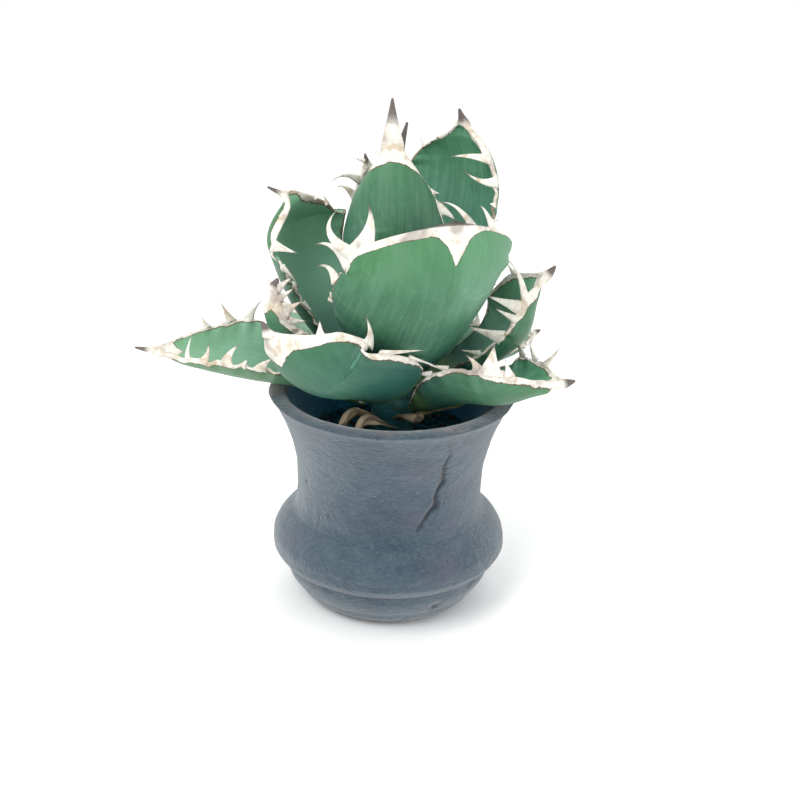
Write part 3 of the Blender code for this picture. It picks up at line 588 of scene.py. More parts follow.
def build_leaf(name, spec, seed, mat):
    dry = spec.get("dry", False)
    # places are closer together near the tip, positions across are closer near the margins
    u = np.linspace(0, 1, ALONG_STEPS)
    u = 0.55 * u + 0.45 * (1 - (1 - u) ** 2)
    v = np.sin(0.5 * np.pi * np.linspace(-1, 1, ACROSS_STEPS))
    sheet = leaf_sheet(spec, u[:-1], v)
    mid, normal, out = sheet["mid"], sheet["normal"], sheet["out"]
    half, x, length = sheet["half"], sheet["x"], sheet["length"]
    run = (u[:-1] * length)[:, None] * np.ones_like(x)
    edge = margin_distance(spec, length, x, run)
    # margins swell a little at each tooth and wave between them
    swell = np.zeros_like(x)
    horn_extra = np.zeros_like(x)
    for spot, side, base, *_ in spec["teeth"]:
        ds = (u[:-1] - spot) * length / (base * MM)
        near = np.exp(-ds ** 2 * 0.8)[:, None] * (v * side > 0)
        swell += near * 0.2 * base * MM * np.abs(v) ** 6
        horn_extra += np.exp(-ds ** 2 * 0.8)[:, None] * (v * side > 0) * 0.32 * base
    wave = spec.get("wave", 0.0) * MM
    wavy = np.sin(run / (spec.get("wave_length", 11.0) * MM) * 2 * np.pi + seed) \
        + 0.6 * np.sin(run / (6.3 * MM) * 2 * np.pi + 2.1 * seed)
    mid = mid + out * (np.sign(v) * swell)[..., None] \
        + normal * (wave * wavy * np.abs(v) ** 5 * ramp(half, 0.002, 0.012)[:, None])[..., None]
    flat = mid.reshape(-1, 3)
    rough = wobble(flat, 38.0, seed).reshape(x.shape) * 0.7 * MM \
        + wobble(flat, 120.0, seed + 3).reshape(x.shape) * 0.16 * MM
    if dry:
        rough += wobble(flat, 260.0, seed + 5).reshape(x.shape) * 1.3 * MM
    mid = mid + normal * (rough * ramp(half, 0.002, 0.012)[:, None])[..., None]
    # a leaf is thick at its midrib, thin at its margin and nearly round at its spine
    thick = LEAF_THICKNESS * spec.get("thick", 1.0) * np.clip(half / (14 * MM), 0.25, 1.0)
    round_tip = (1 - ramp(half, 0.0022, 0.0065)) * ramp(u[:-1], 0.5, 0.7)
    body = thick[:, None] * (1 - v ** 2) + np.minimum(MARGIN_THICKNESS, thick)[:, None] * v ** 2
    body = body * (1 - round_tip[:, None]) + 1.7 * half[:, None] * round_tip[:, None]
    close = np.clip((np.abs(v) - EDGE_ROUND) / (1 - EDGE_ROUND), 0, 1)
    flat_close = np.sqrt(np.clip(1 - close ** 2, 0, 1))
    tip_close = np.sqrt(np.clip(1 - v ** 2, 0, 1))
    body = body * (flat_close * (1 - round_tip[:, None]) + tip_close * round_tip[:, None])
    keel = spec.get("keel", 0.0) * MM * np.exp(-(x / (2.2 * MM)) ** 2)
    inner_face = mid + normal * (body / 2)[..., None]
    outer_face = mid - normal * (body / 2 + keel)[..., None]
    # horn: a band along each margin and a cap at the tip (all in millimetres)
    band = smooth_line(spec["horn"], u[:-1])[:, None] + horn_extra * (np.abs(v) > 0.2)
    band = np.where(v > 0, band * spec.get("horn_right", 1.0), band)
    ragged = wobble(flat, 160.0, seed + 9).reshape(x.shape)
    h_edge = band + 0.9 * ragged - edge / MM
    cap_place, cap_slope, cap_power = spec["cap"]
    h_cap = (run - cap_place * length) / MM - cap_slope * np.abs(x / MM) ** cap_power + 1.2 * ragged
    h = np.maximum(h_edge, h_cap)
    spine = ramp(u[:-1], spec.get("spine_from", 0.91), 0.99)[:, None] * np.ones_like(x)
    place = u[:-1][:, None] * np.ones_like(x)
    brown = np.zeros_like(x)
    for side, low, high, amount in spec.get("brown", ()):
        gate = ramp(place, low - 0.04, low + 0.04) * (1 - ramp(place, high - 0.04, high + 0.04))
        brown = np.maximum(brown, gate * amount * (v * side > 0))
    # painted light: paler patches that stand in for light reaching shaded faces of the leaf
    light = {1: np.zeros_like(x), -1: np.zeros_like(x)}
    for low, high, start, amount, side in spec.get("light", ()):
        gate = ramp(x / MM, low, low + 5) * (1 - ramp(x / MM, high - 5, high))
        light[side] = np.maximum(light[side], gate * amount * ramp(place, start, start + 0.3))
    marks = np.zeros_like(x)
    for cx, cs, reach, low, high in spec.get("marks", ()):
        dx, ds = x / MM - cx, run / MM - cs
        dist = np.hypot(dx, ds)
        at = np.degrees(np.arctan2(ds, dx)) % 360
        gate = ramp(at, low - 12, low + 12) * (1 - ramp(at, high - 12, high + 12))
        marks += np.exp(-((dist - reach) / 0.8) ** 2) * gate
    count = 2 * ACROSS_STEPS - 2
    rows = len(u) - 1
    ring = np.concatenate([inner_face, outer_face[:, -2:0:-1]], axis=1)

    def both(a, b=None):
        b = a if b is None else b
        return np.concatenate([a, b[:, -2:0:-1]], axis=1).reshape(-1)

    verts = ring.reshape(-1, 3)
    data = {
        "horn": both(h), "side": both(x / MM), "run": both(run / MM),
        "spine": both(spine), "mark": both(marks * 0.35, marks), "place": both(place),
        "brown": both(brown), "light": both(light[1], light[-1]),
        "face": np.concatenate([np.ones_like(x), -np.ones((rows, ACROSS_STEPS - 2))], axis=1).reshape(-1),
    }
    verts = np.vstack([verts, leaf_frames(spec, np.array([0.999]))[0]])
    tip_values = dict(horn=9, side=0, run=length / MM, spine=1, mark=0, face=0, place=1,
                      brown=0, light=0)
    data = {k: np.append(a, tip_values[k]) for k, a in data.items()}
    faces = []
    for i in range(rows - 1):
        for j in range(count):
            k = (j + 1) % count
            faces.append((i * count + j, i * count + k, (i + 1) * count + k, (i + 1) * count + j))
    last = (rows - 1) * count
    for j in range(count):
        faces.append((last + j, last + (j + 1) % count, len(verts) - 1))
    for j in range(ACROSS_STEPS - 2):
        a, b = j, j + 1
        c, d = (count - b) % count, (count - a) % count
        quad = (b, c, d, a) if a else (b, c, a)
        faces.append(tuple(dict.fromkeys(quad)))
    # teeth
    for place, side, base, reach, bow in spec["teeth"]:
        at = leaf_sheet(spec, place + np.array([-0.006, 0.0, 0.006]), np.array([float(side)]))
        axes = np.array([at["out"][1, 0] * side, at["along"][1], at["normal"][1, 0]])
        margin = at["mid"][2, 0] - at["mid"][0, 0]
        root = at["mid"][1, 0] + axes[0] * 0.3 * base * MM
        pts, t = tooth(root, reach @ axes * MM, bow @ axes * MM, base * MM, 2.0 * MM, margin)
        faces += tooth_faces(len(verts))
        verts = np.vstack([verts, pts])
        n = len(pts)
        extra = dict(horn=np.full(n, 6.0), side=np.full(n, at["x"][1, 0] / MM) + t,
                     run=np.full(n, place * length / MM) + t * base, spine=0.75 * ramp(t, 0.55, 1.0),
                     mark=np.zeros(n), face=np.zeros(n), place=np.full(n, place), brown=np.zeros(n),
                     light=np.zeros(n))
        data = {k: np.concatenate([a, extra[k]]) for k, a in data.items()}
    data["tone"] = np.full(len(verts), spec.get("tone", 0.0))
    return finish_mesh(name, verts, faces, data, mat)


# ---------------------------------------------------------------- materials
class Graph:
    """Short hand for a material's node tree."""

    def __init__(self, name):
        self.mat = bpy.data.materials.new(name)
        self.mat.use_nodes = True
        self.tree = self.mat.node_tree
        self.bsdf = self.tree.nodes["Principled BSDF"]

    def put(self, socket, value):
        if isinstance(value, bpy.types.NodeSocket):
            self.tree.links.new(value, socket)
        else:
            socket.default_value = value

    def node(self, kind, **inputs):
        node = self.tree.nodes.new(kind)
        for key, value in inputs.items():
            self.put(node.inputs[key], value)
        return node

    def attr(self, name):
        node = self.tree.nodes.new("ShaderNodeAttribute")
        node.attribute_name = name
        return node.outputs["Fac"]

    def math(self, op, a, b=0.0, c=0.0):
        node = self.tree.nodes.new("ShaderNodeMath")
        node.operation = op
        for i, value in enumerate((a, b, c)):
            self.put(node.inputs[i], value)
        return node.outputs[0]

    def fade(self, value, low, high, to_low=0.0, to_high=1.0):
        node = self.tree.nodes.new("ShaderNodeMapRange")
        node.interpolation_type = "SMOOTHSTEP"
        for i, v in enumerate((value, low, high, to_low, to_high)):
            self.put(node.inputs[i], v)
        return node.outputs[0]

    def mix(self, fac, a, b, mode="MIX"):
        node = self.tree.nodes.new("ShaderNodeMix")
        node.data_type = "RGBA"
        node.blend_type = mode
        self.put(node.inputs[0], fac)
        self.put(node.inputs[6], a if isinstance(a, bpy.types.NodeSocket) else (*a, 1.0))
        self.put(node.inputs[7], b if isinstance(b, bpy.types.NodeSocket) else (*b, 1.0))
        return node.outputs[2]

    def coords(self):
        return self.tree.nodes.new("ShaderNodeTexCoord").outputs["Object"]

    def noise(self, vector, scale, detail=3.0, rough=0.55, distortion=0.0):
        node = self.node("ShaderNodeTexNoise", Vector=vector, Scale=scale, Detail=detail,
                         Roughness=rough, Distortion=distortion)
        return node.outputs[0]

    def cells(self, vector, scale, feature="F1"):
        node = self.node("ShaderNodeTexVoronoi", Vector=vector, Scale=scale)
        node.feature = feature
        return node.outputs["Distance"]

    def combine(self, x, y, z):
        node = self.tree.nodes.new("ShaderNodeCombineXYZ")
        for i, value in enumerate((x, y, z)):
            self.put(node.inputs[i], value)
        return node.outputs[0]

    def bump(self, height, strength, distance, normal=None):
        node = self.node("ShaderNodeBump", Height=height, Strength=strength, Distance=distance)
        if normal is not None:
            self.put(node.inputs["Normal"], normal)
        return node.outputs[0]

    def close(self, color, rough, normal=None, **others):
        self.put(self.bsdf.inputs["Base Color"], color)
        self.put(self.bsdf.inputs["Roughness"], rough)
        if normal is not None:
            self.put(self.bsdf.inputs["Normal"], normal)
        for key, value in others.items():
            self.put(self.bsdf.inputs[key], value)
        return self.mat


def leaf_material():
    g = Graph("agave_leaf_detail")
    co = g.coords()
    side, run, tone, place = g.attr("side"), g.attr("run"), g.attr("tone"), g.attr("place")
    # streaks that follow the leaf
    lines = g.combine(g.math("MULTIPLY", side, 0.42), g.math("MULTIPLY", run, 0.035), tone)
    fine_lines = g.combine(g.math("MULTIPLY", side, 2.2), g.math("MULTIPLY", run, 0.06), tone)
    streak = g.noise(lines, 1.0, 4.0, 0.6, 0.6)
    hair = g.noise(fine_lines, 1.0, 3.0)
    blotch = g.noise(co, 38.0, 3.0, 0.55, 0.8)
    cloud = g.noise(co, 80.0, 3.0, 0.6, 0.5)
    mottle = g.noise(co, 320.0, 4.0, 0.65)
    # green skin: the inside of a leaf is bluer than its back, and its colour is also painted lighter,
    # standing in for light reaching the shaded inner faces
    inner = g.fade(g.attr("face"), -0.4, 0.4)
    back_skin = g.mix(g.fade(streak, 0.28, 0.72), (0.030, 0.112, 0.064), (0.058, 0.165, 0.096))
    front_skin_painted_lighter = g.mix(g.fade(streak, 0.28, 0.72), (0.075, 0.250, 0.175), (0.150, 0.350, 0.255))
    skin = g.mix(inner, back_skin, front_skin_painted_lighter)
    skin = g.mix(g.math("MULTIPLY", g.fade(blotch, 0.44, 0.70), 0.45), skin, (0.095, 0.215, 0.155))
    skin = g.mix(g.math("MULTIPLY", g.fade(cloud, 0.50, 0.30), 0.40), skin, (0.026, 0.115, 0.072))
    skin = g.mix(g.math("MULTIPLY", g.fade(cloud, 0.55, 0.78), 0.30), skin, (0.090, 0.290, 0.105))
    skin = g.mix(g.math("MULTIPLY", g.fade(mottle, 0.5, 0.8), 0.22), skin, (0.160, 0.310, 0.210))
    skin = g.mix(g.math("MULTIPLY", g.fade(hair, 0.55, 0.80), 0.20), skin, (0.030, 0.110, 0.070))
    skin = g.mix(g.math("MULTIPLY", g.attr("mark"), 0.30), skin, (0.200, 0.360, 0.260))
    # painted light: the paler patches stand in for light reaching shaded faces
    skin = g.mix(g.attr("light"), skin, (0.330, 0.640, 0.460))
    # fresher green towards the tip; painted shade: deep blue green towards the stem, where the leaves crowd
    # and shade each other
    skin = g.mix(g.fade(place, 0.50, 0.92, 0.0, 0.40), skin, (0.070, 0.260, 0.070))
    skin = g.mix(g.fade(place, 0.52, 0.16, 0.0, 0.80), skin, (0.010, 0.072, 0.070))
    pale = g.fade(tone, 0.0, 1.0)
    skin = g.mix(g.math("MULTIPLY", pale, 0.70), skin, (0.230, 0.410, 0.170))
    deep = g.fade(tone, 0.0, -1.0)
    skin = g.mix(g.math("MULTIPLY", deep, 0.75), skin, (0.010, 0.075, 0.072))
    # the very base of a leaf is yellow green
    skin = g.mix(g.fade(run, 24.0, 10.0, 0.0, 0.35), skin, (0.200, 0.360, 0.040))
    # horn: margins, teeth and spine
    ragged = g.math("SUBTRACT", g.noise(co, 420.0, 4.0), 0.5)
    horn = g.math("ADD", g.attr("horn"), g.math("MULTIPLY", ragged, 1.7))
    is_horn = g.fade(horn, -0.08, 0.10)
    rim_line = g.math("SUBTRACT", 1.0, g.fade(g.math("ABSOLUTE", g.math("ADD", horn, 0.08)), 0.08, 0.40))
    h1 = g.noise(co, 120.0, 4.0, 0.6, 0.9)
    h2 = g.noise(co, 620.0, 4.0, 0.65)
    h3 = g.noise(co, 70.0, 3.0, 0.5, 0.6)
    horn_color = g.mix(g.fade(h1, 0.46, 0.68), (0.800, 0.775, 0.710), (0.560, 0.470, 0.350))
    horn_color = g.mix(g.math("MULTIPLY", g.fade(h3, 0.56, 0.72), 0.75), horn_color, (0.330, 0.290, 0.260))
    horn_color = g.mix(g.math("MULTIPLY", g.fade(h2, 0.5, 0.75), 0.5), horn_color, (0.36, 0.30, 0.24))
    horn_color = g.mix(g.attr("brown"), horn_color, (0.210, 0.150, 0.085))
    spine = g.math("MULTIPLY", g.attr("spine"), g.fade(h2, 0.1, 0.55, 0.75, 1.0))
    horn_color = g.mix(g.math("MULTIPLY", g.fade(spine, 0.15, 0.75), 0.92), horn_color,
                       (0.085, 0.062, 0.058))
    color = g.mix(is_horn, skin, horn_color)
    color = g.mix(g.math("MULTIPLY", rim_line, 0.9), color, (0.095, 0.062, 0.030))
    # relief
    skin_relief = g.math("ADD", g.math("MULTIPLY", streak, 0.8), g.math("MULTIPLY", mottle, 0.35))
    skin_relief = g.math("ADD", skin_relief, g.math("MULTIPLY", hair, 0.3))
    skin_relief = g.math("SUBTRACT", skin_relief, g.math("MULTIPLY", g.attr("mark"), 0.8))
    horn_relief = g.math("ADD", g.math("MULTIPLY", h2, 1.3), g.math("MULTIPLY", h1, 1.4))
    height = g.math("ADD", skin_relief, g.math("MULTIPLY", is_horn, horn_relief))
    normal = g.bump(height, 0.45, 0.0006)
    rough = g.fade(is_horn, 0.0, 1.0, 0.46, 0.70)
    rough = g.math("ADD", rough, g.math("MULTIPLY", g.math("SUBTRACT", mottle, 0.5), 0.25))
    return g.close(color, rough, normal, **{"Specular IOR Level": 0.35})


def dry_material():
    g = Graph("dried_leaf_detail")
    co = g.coords()
    side, run, tone = g.attr("side"), g.attr("run"), g.attr("tone")
    fibre = g.noise(g.combine(g.math("MULTIPLY", side, 2.4), g.math("MULTIPLY", run, 0.09), tone),
                    1.0, 4.0, 0.65, 0.5)
    patch = g.noise(co, 130.0, 4.0, 0.6)
    brown = g.mix(g.fade(fibre, 0.3, 0.7), (0.085, 0.060, 0.034), (0.300, 0.235, 0.150))
    brown = g.mix(g.math("MULTIPLY", g.fade(patch, 0.45, 0.75), 0.6), brown, (0.050, 0.040, 0.030))
    yellow = g.mix(g.fade(patch, 0.35, 0.65), (0.520, 0.520, 0.110), (0.380, 0.300, 0.100))
    color = g.mix(g.fade(tone, 0.0, 1.0), brown, yellow)
    color = g.mix(g.math("MULTIPLY", g.fade(g.attr("horn"), -0.2, 0.4), 0.5), color, (0.45, 0.37, 0.26))
    color = g.mix(g.math("MULTIPLY", g.fade(g.attr("spine"), 0.3, 0.9), 0.8), color, (0.07, 0.05, 0.045))
    height = g.math("ADD", fibre, g.math("MULTIPLY", patch, 0.5))
    return g.close(color, 0.8, g.bump(height, 0.9, 0.0009), **{"Specular IOR Level": 0.2})


def clay_material():
    g = Graph("clay_detail")
    co = g.coords()
    flat = g.node("ShaderNodeMapping", Vector=co, Scale=(1.0, 1.0, 2.2)).outputs[0]
    broad = g.noise(flat, 20.0, 4.0, 0.6, 0.6)
    medium = g.noise(flat, 90.0, 5.0, 0.7, 0.4)
    grain = g.noise(flat, 480.0, 5.0, 0.75)
    specks = g.noise(co, 900.0, 3.0, 0.6)
    pits = g.cells(co, 150.0)
    pit_here = g.fade(g.noise(co, 60.0, 2.0), 0.50, 0.62)
    color = g.mix(g.fade(broad, 0.30, 0.70), (0.028, 0.056, 0.082), (0.050, 0.086, 0.114))
    color = g.mix(g.fade(medium, 0.45, 0.75, 0.0, 0.55), color, (0.085, 0.125, 0.155))
    color = g.mix(g.fade(medium, 0.46, 0.24, 0.0, 0.55), color, (0.020, 0.042, 0.064))
    color = g.mix(g.fade(grain, 0.50, 0.72, 0.0, 0.70), color, (0.125, 0.165, 0.195))
    color = g.mix(g.fade(grain, 0.47, 0.28, 0.0, 0.70), color, (0.012, 0.026, 0.042))
    color = g.mix(g.fade(specks, 0.62, 0.78, 0.0, 0.60), color, (0.260, 0.300, 0.330))
    pit = g.math("MULTIPLY", g.fade(pits, 0.16, 0.06), pit_here)
    color = g.mix(g.math("MULTIPLY", pit, 0.8), color, (0.024, 0.036, 0.050))
    color = g.mix(g.attr("purple"), color, (0.110, 0.080, 0.135))
    # darker in the gouge, in the knocks and towards the top, plus painted shadow under the overhang
    color = g.mix(g.attr("dark"), color, (0.010, 0.018, 0.028))
    color = g.mix(g.math("MULTIPLY", g.attr("worn"), g.fade(medium, 0.4, 0.65, 0.2, 0.8)), color,
                  (0.27, 0.235, 0.22))
    # painted shade: the inner wall below the rim is coloured the deep blue teal of its shade
    color = g.mix(g.math("MULTIPLY", g.attr("inside"), 0.96), color, (0.002, 0.230, 0.440))
    height = g.math("ADD", g.math("MULTIPLY", grain, 0.9), g.math("MULTIPLY", medium, 1.0))
    height = g.math("SUBTRACT", height, g.math("MULTIPLY", pit, 1.1))
    height = g.math("ADD", height, g.math("MULTIPLY", specks, 0.25))
    rough = g.fade(grain, 0.3, 0.7, 0.75, 0.95)
    return g.close(color, rough, g.bump(height, 0.75, 0.0010),
                   **{"Specular IOR Level": 0.25, "Sheen Weight": 0.55, "Sheen Roughness": 0.5})


def earth_material():
    g = Graph("potting_mix_detail")
    co = g.coords()
    patch = g.noise(co, 170.0, 4.0, 0.65)
    grain = g.noise(co, 1100.0, 4.0, 0.7)
    kind = g.attr("kind")
    # painted shade: the dark soil is coloured the deep blue teal of the shade over it
    color = g.mix(g.fade(patch, 0.35, 0.7), (0.004, 0.090, 0.140), (0.020, 0.130, 0.160))
    color = g.mix(g.fade(kind, 0.62, 0.70), color, (0.060, 0.110, 0.110))
    color = g.mix(g.fade(kind, 0.88, 0.92), color, (0.075, 0.040, 0.026))
    color = g.mix(g.math("MULTIPLY", g.fade(grain, 0.5, 0.75), 0.4), color, (0.055, 0.052, 0.045))
    height = g.math("ADD", patch, grain)
    return g.close(color, 0.95, g.bump(height, 1.0, 0.0010), **{"Specular IOR Level": 0.15})


def stem_material():
    g = Graph("stem_detail")
    co = g.coords()
    patch = g.noise(co, 120.0, 4.0, 0.6)
    stretch = g.node("ShaderNodeMapping", Vector=co, Scale=(90.0, 90.0, 700.0)).outputs[0]
    scars = g.noise(stretch, 1.0, 3.0)
    # painted shade: the stem is coloured the deep blue teal of the shade among the leaf bases
    color = g.mix(g.fade(patch, 0.35, 0.65), (0.006, 0.110, 0.130), (0.035, 0.130, 0.110))
    color = g.mix(g.math("MULTIPLY", g.fade(scars, 0.5, 0.7), 0.6), color, (0.020, 0.026, 0.022))
    height = g.math("ADD", patch, scars)
    return g.close(color, 0.85, g.bump(height, 0.9, 0.0012))


def net_material():
    g = Graph("net_plastic_detail")
    co = g.coords()
    scuff = g.noise(co, 480.0, 4.0, 0.6)
    dust = g.noise(co, 90.0, 3.0)
    color = g.mix(g.fade(dust, 0.45, 0.7), (0.020, 0.022, 0.024), (0.085, 0.075, 0.060))
    color = g.mix(g.math("MULTIPLY", g.fade(scuff, 0.5, 0.8), 0.4), color, (0.12, 0.12, 0.12))
    rough = g.fade(scuff, 0.3, 0.7, 0.42, 0.7)
    return g.close(color, rough, g.bump(scuff, 0.4, 0.0003))


# ---------------------------------------------------------------- the pot
POT_TURNS = 420
LIP_RISE = 0.0018
POT_OUTLINE = (
    (1.00, 1.000), (0.985, 0.998), (0.960, 0.965), (0.950, 0.952), (0.91, 0.915), (0.82, 0.848),
    (0.72, 0.796), (0.62, 0.770), (0.55, 0.766), (0.48, 0.772), (0.43, 0.795), (0.39, 0.875),
    (0.35, 0.936), (0.30, 0.972), (0.26, 0.974), (0.24, 0.957), (0.222, 0.935), (0.208, 0.885),
    (0.15, 0.862), (0.10, 0.815), (0.09, 0.795), (0.05, 0.750), (0.0, FOOT_RADIUS / RIM_RADIUS),
)
# a torn drag mark in the clay: (compass angle, height as a share of the pot, half width mm, depth mm)
GOUGE = ((28, 0.93, 0.3, 0.2), (32, 0.86, 1.0, 0.7), (30, 0.80, 1.3, 0.9), (32, 0.72, 1.6, 1.3),
         (28.5, 0.66, 1.2, 1.1), (28, 0.60, 1.5, 1.3), (23, 0.56, 1.0, 1.0), (17, 0.49, 0.7, 0.6))
# purple tints of the clay: (compass angle, height share, reach mm, amount)
PURPLE = ((38, 0.88, 7, 0.35), (20, 0.78, 6, 0.35), (45, 0.66, 7, 0.4), (16, 0.55, 6, 0.4),
          (40, 0.48, 6, 0.3), (30, 0.34, 7, 0.35), (160, 0.6, 9, 0.3), (230, 0.75, 8, 0.3),
          (300, 0.35, 8, 0.25))
# small knocks in the clay: (compass angle, height share, radius mm, depth mm)
KNOCKS = ((28, 0.125, 3.0, 1.6), (-33, 0.205, 2.2, 0.8), (52, 0.20, 2.6, 0.9), (8, 0.045, 2.4, 0.9),
          (-60, 0.62, 1.6, 0.6), (-14, 0.80, 1.2, 0.5), (4, 0.42, 1.5, 0.5), (-38, 0.52, 1.3, 0.5),
          (140, 0.30, 2.2, 0.8), (200, 0.70, 1.8, 0.7), (255, 0.40, 1.6, 0.6), (110, 0.82, 1.5, 0.6))


def build_pot():
    zs = np.array([z for z, _ in POT_OUTLINE][::-1])
    rs = np.array([r for _, r in POT_OUTLINE][::-1])
    wall_z = np.array([0.0, 0.8, 1.0]) * POT_HEIGHT
    wall_t = np.array([BODY_WALL, BODY_WALL, RIM_WALL])
    out_z = np.unique(np.concatenate([np.linspace(0.006, 0.985, 126), [0.205, 0.21, 0.215, 0.22]]))
    out_r = smooth_line(list(zip(zs, rs)), out_z) * RIM_RADIUS
    out_z = out_z * POT_HEIGHT
    in_z = np.linspace(POT_HEIGHT - 0.003, 0.12 * POT_HEIGHT, 60)
    in_r = np.interp(in_z / POT_HEIGHT, zs, rs) * RIM_RADIUS - np.interp(in_z, wall_z, wall_t)
    in_r = np.convolve(np.pad(in_r, 2, mode="edge"), np.ones(5) / 5, mode="valid")
    turn = np.linspace(0, np.pi, 10)
    mid_lip = (out_r[-1] + in_r[0]) / 2
    half_lip = (out_r[-1] - in_r[0]) / 2
    lip_r = mid_lip + half_lip * np.cos(turn) * (0.55 + 0.45 * np.abs(np.cos(turn)) ** 0.5)
    lip_z = POT_HEIGHT - LIP_RISE + LIP_RISE * np.sin(turn) ** 0.7
    foot_inner = FOOT_RADIUS - BODY_WALL
    floor_r = np.concatenate([[foot_inner, foot_inner - 0.001, foot_inner - FLOOR_CURVE],
                              np.linspace(foot_inner - FLOOR_CURVE - 0.001, 0.0006, 14)])
    floor_z = np.concatenate([[FLOOR_THICKNESS + FLOOR_CURVE, FLOOR_THICKNESS + 0.0008, FLOOR_THICKNESS],
                              np.full(14, FLOOR_THICKNESS)])
    under_r = np.concatenate([np.linspace(0.0006, FOOT_RADIUS - 0.002, 16), [FOOT_RADIUS - 0.0006]])
    under_z = np.concatenate([np.zeros(16), [0.00015]])
    r = np.concatenate([under_r, out_r, lip_r[1:-1], in_r, floor_r])
    z = np.concatenate([under_z, out_z, lip_z[1:-1], in_z, floor_z])
    part = np.concatenate([np.zeros(len(under_r)), np.ones(len(out_r)), np.full(len(lip_r) - 2, 2.0),
                           np.full(len(in_r), 3.0), np.full(len(floor_r), 4.0)])
    phi = np.linspace(0, 2 * np.pi, POT_TURNS, endpoint=False)
    rr = np.repeat(r[:, None], POT_TURNS, 1)
    zz = np.repeat(z[:, None], POT_TURNS, 1)
    pp = np.repeat(part[:, None], POT_TURNS, 1)
    aa = np.repeat(phi[None], len(r), 0)
    flat = np.stack([rr * np.sin(aa), -rr * np.cos(aa), zz], -1).reshape(-1, 3)
    shape = rr.shape
    slow = wobble(flat, 26.0, 1).reshape(shape)
    lumps = wobble(flat, 95.0, 2).reshape(shape)
    grit = wobble(flat, 330.0, 3).reshape(shape)
    rings = np.sin(zz / 0.0031 + 1.5 * slow) * ramp(zz, 0.03, 0.05)
    push = slow * 0.00045 + lumps * 0.00022 + grit * 0.00016 + rings * 0.00006
    push = push * (pp >= 1) * (pp <= 3)
    scar = np.zeros(shape)
    outside = (pp >= 1) & (pp <= 2)
    for (a0, h0, w0, d0), (a1, h1, w1, d1) in zip(GOUGE[:-1], GOUGE[1:]):
        p0 = np.array([math.radians(a0) * 0.048, h0 * POT_HEIGHT])
        p1 = np.array([math.radians(a1) * 0.048, h1 * POT_HEIGHT])
        here = np.stack([((aa + np.pi) % (2 * np.pi) - np.pi) * 0.048, zz], -1)
        t = np.clip(((here - p0) @ (p1 - p0)) / ((p1 - p0) @ (p1 - p0)), 0, 1)
        dist = np.linalg.norm(here - (p0 + t[..., None] * (p1 - p0)), axis=-1)
        width = (w0 + (w1 - w0) * t) * MM * (1 + 0.8 * lumps + 0.9 * grit)
        depth = d0 + (d1 - d0) * t
        scar = np.maximum(scar, np.exp(-(dist / np.maximum(width, 0.0003)) ** 2) * depth * outside)
    knock = np.zeros(shape)
    for angle, height, size, depth in KNOCKS:
        da = ((aa - math.radians(angle) + np.pi) % (2 * np.pi) - np.pi) * rr
        dist = np.hypot(da, (zz - height * POT_HEIGHT) * 1.3) / (size * MM) * (1 + 0.35 * lumps)
        knock = np.maximum(knock, np.exp(-dist ** 2) * depth * outside)
    purple = np.zeros(shape)
    for angle, height, size, amount in PURPLE:
        da = ((aa - math.radians(angle) + np.pi) % (2 * np.pi) - np.pi) * rr
        dist = np.hypot(da, (zz - height * POT_HEIGHT) * 1.4) / (size * MM) * (1 + 0.6 * slow + 0.4 * lumps)
        purple = np.maximum(purple, np.exp(-dist ** 2) * amount * outside)
    rr = rr + push - scar * MM - knock * MM
    zz = zz + (pp == 2) * (slow * 0.0005 + lumps * 0.0002 - 0.0004)
    verts = np.stack([rr * np.sin(aa), -rr * np.cos(aa), zz], -1).reshape(-1, 3)
    rows = len(r)
    faces = []
    for i in range(rows - 1):
        for j in range(POT_TURNS):
            k = (j + 1) % POT_TURNS
            a, b = i * POT_TURNS, (i + 1) * POT_TURNS
            faces.append((a + j, a + k, b + k, b + j))
    faces.append(tuple(range(POT_TURNS - 1, -1, -1)))
    faces.append(tuple((rows - 1) * POT_TURNS + j for j in range(POT_TURNS)))
    # painted shade: the inner wall below the rim gets the deep blue teal of its shade
    inside = ramp(pp, 2.4, 3.0) * ramp(zz, POT_HEIGHT - 0.0015, POT_HEIGHT - 0.006)
    worn = ((pp == 2) | ((zz > 0.985 * POT_HEIGHT) & outside)) * ramp(slow + 0.5 * lumps, 0.05, 0.45)
    # painted shadow: a dark line just under the overhanging bulge
    painted_overhang_shadow = np.exp(-((zz / POT_HEIGHT - 0.212) / 0.014) ** 2) * outside
    upper = ramp(zz / POT_HEIGHT, 0.72, 0.95) * outside * (0.35 + 0.25 * lumps)
    dark = np.clip(scar * 1.1 + knock * 0.45 + painted_overhang_shadow * 0.6 + np.clip(upper, 0, 1) * 0.4, 0, 0.9)
    data = {"dark": dark.reshape(-1), "inside": inside.reshape(-1), "worn": worn.reshape(-1),
            "purple": purple.reshape(-1)}
    pot = finish_mesh("pot_body", verts, faces, data, clay_material())
    for i in range(HOLE_COUNT):
        a = math.radians(90 + 360 / HOLE_COUNT * i)
        bpy.ops.mesh.primitive_cylinder_add(
            vertices=40, radius=HOLE_RADIUS, depth=3 * FLOOR_THICKNESS,
            location=(HOLE_CIRCLE * math.cos(a), HOLE_CIRCLE * math.sin(a), FLOOR_THICKNESS / 2))
        drill = bpy.context.object
        mod = pot.modifiers.new("drain", "BOOLEAN")
        mod.operation = "DIFFERENCE"
        mod.solver = "EXACT"
        mod.object = drill
        bpy.context.view_layer.objects.active = pot
        bpy.ops.object.modifier_apply(modifier=mod.name)
        bpy.data.objects.remove(drill, do_unlink=True)
    return pot


# ---------------------------------------------------------------- soil and stem
SOIL_TURNS = 220
SOIL_ROWS = 46               # rings across the top of the soil
SOIL_GAP = 0.0003
STEM_TURNS = 72
GRAIN_COUNT = 620


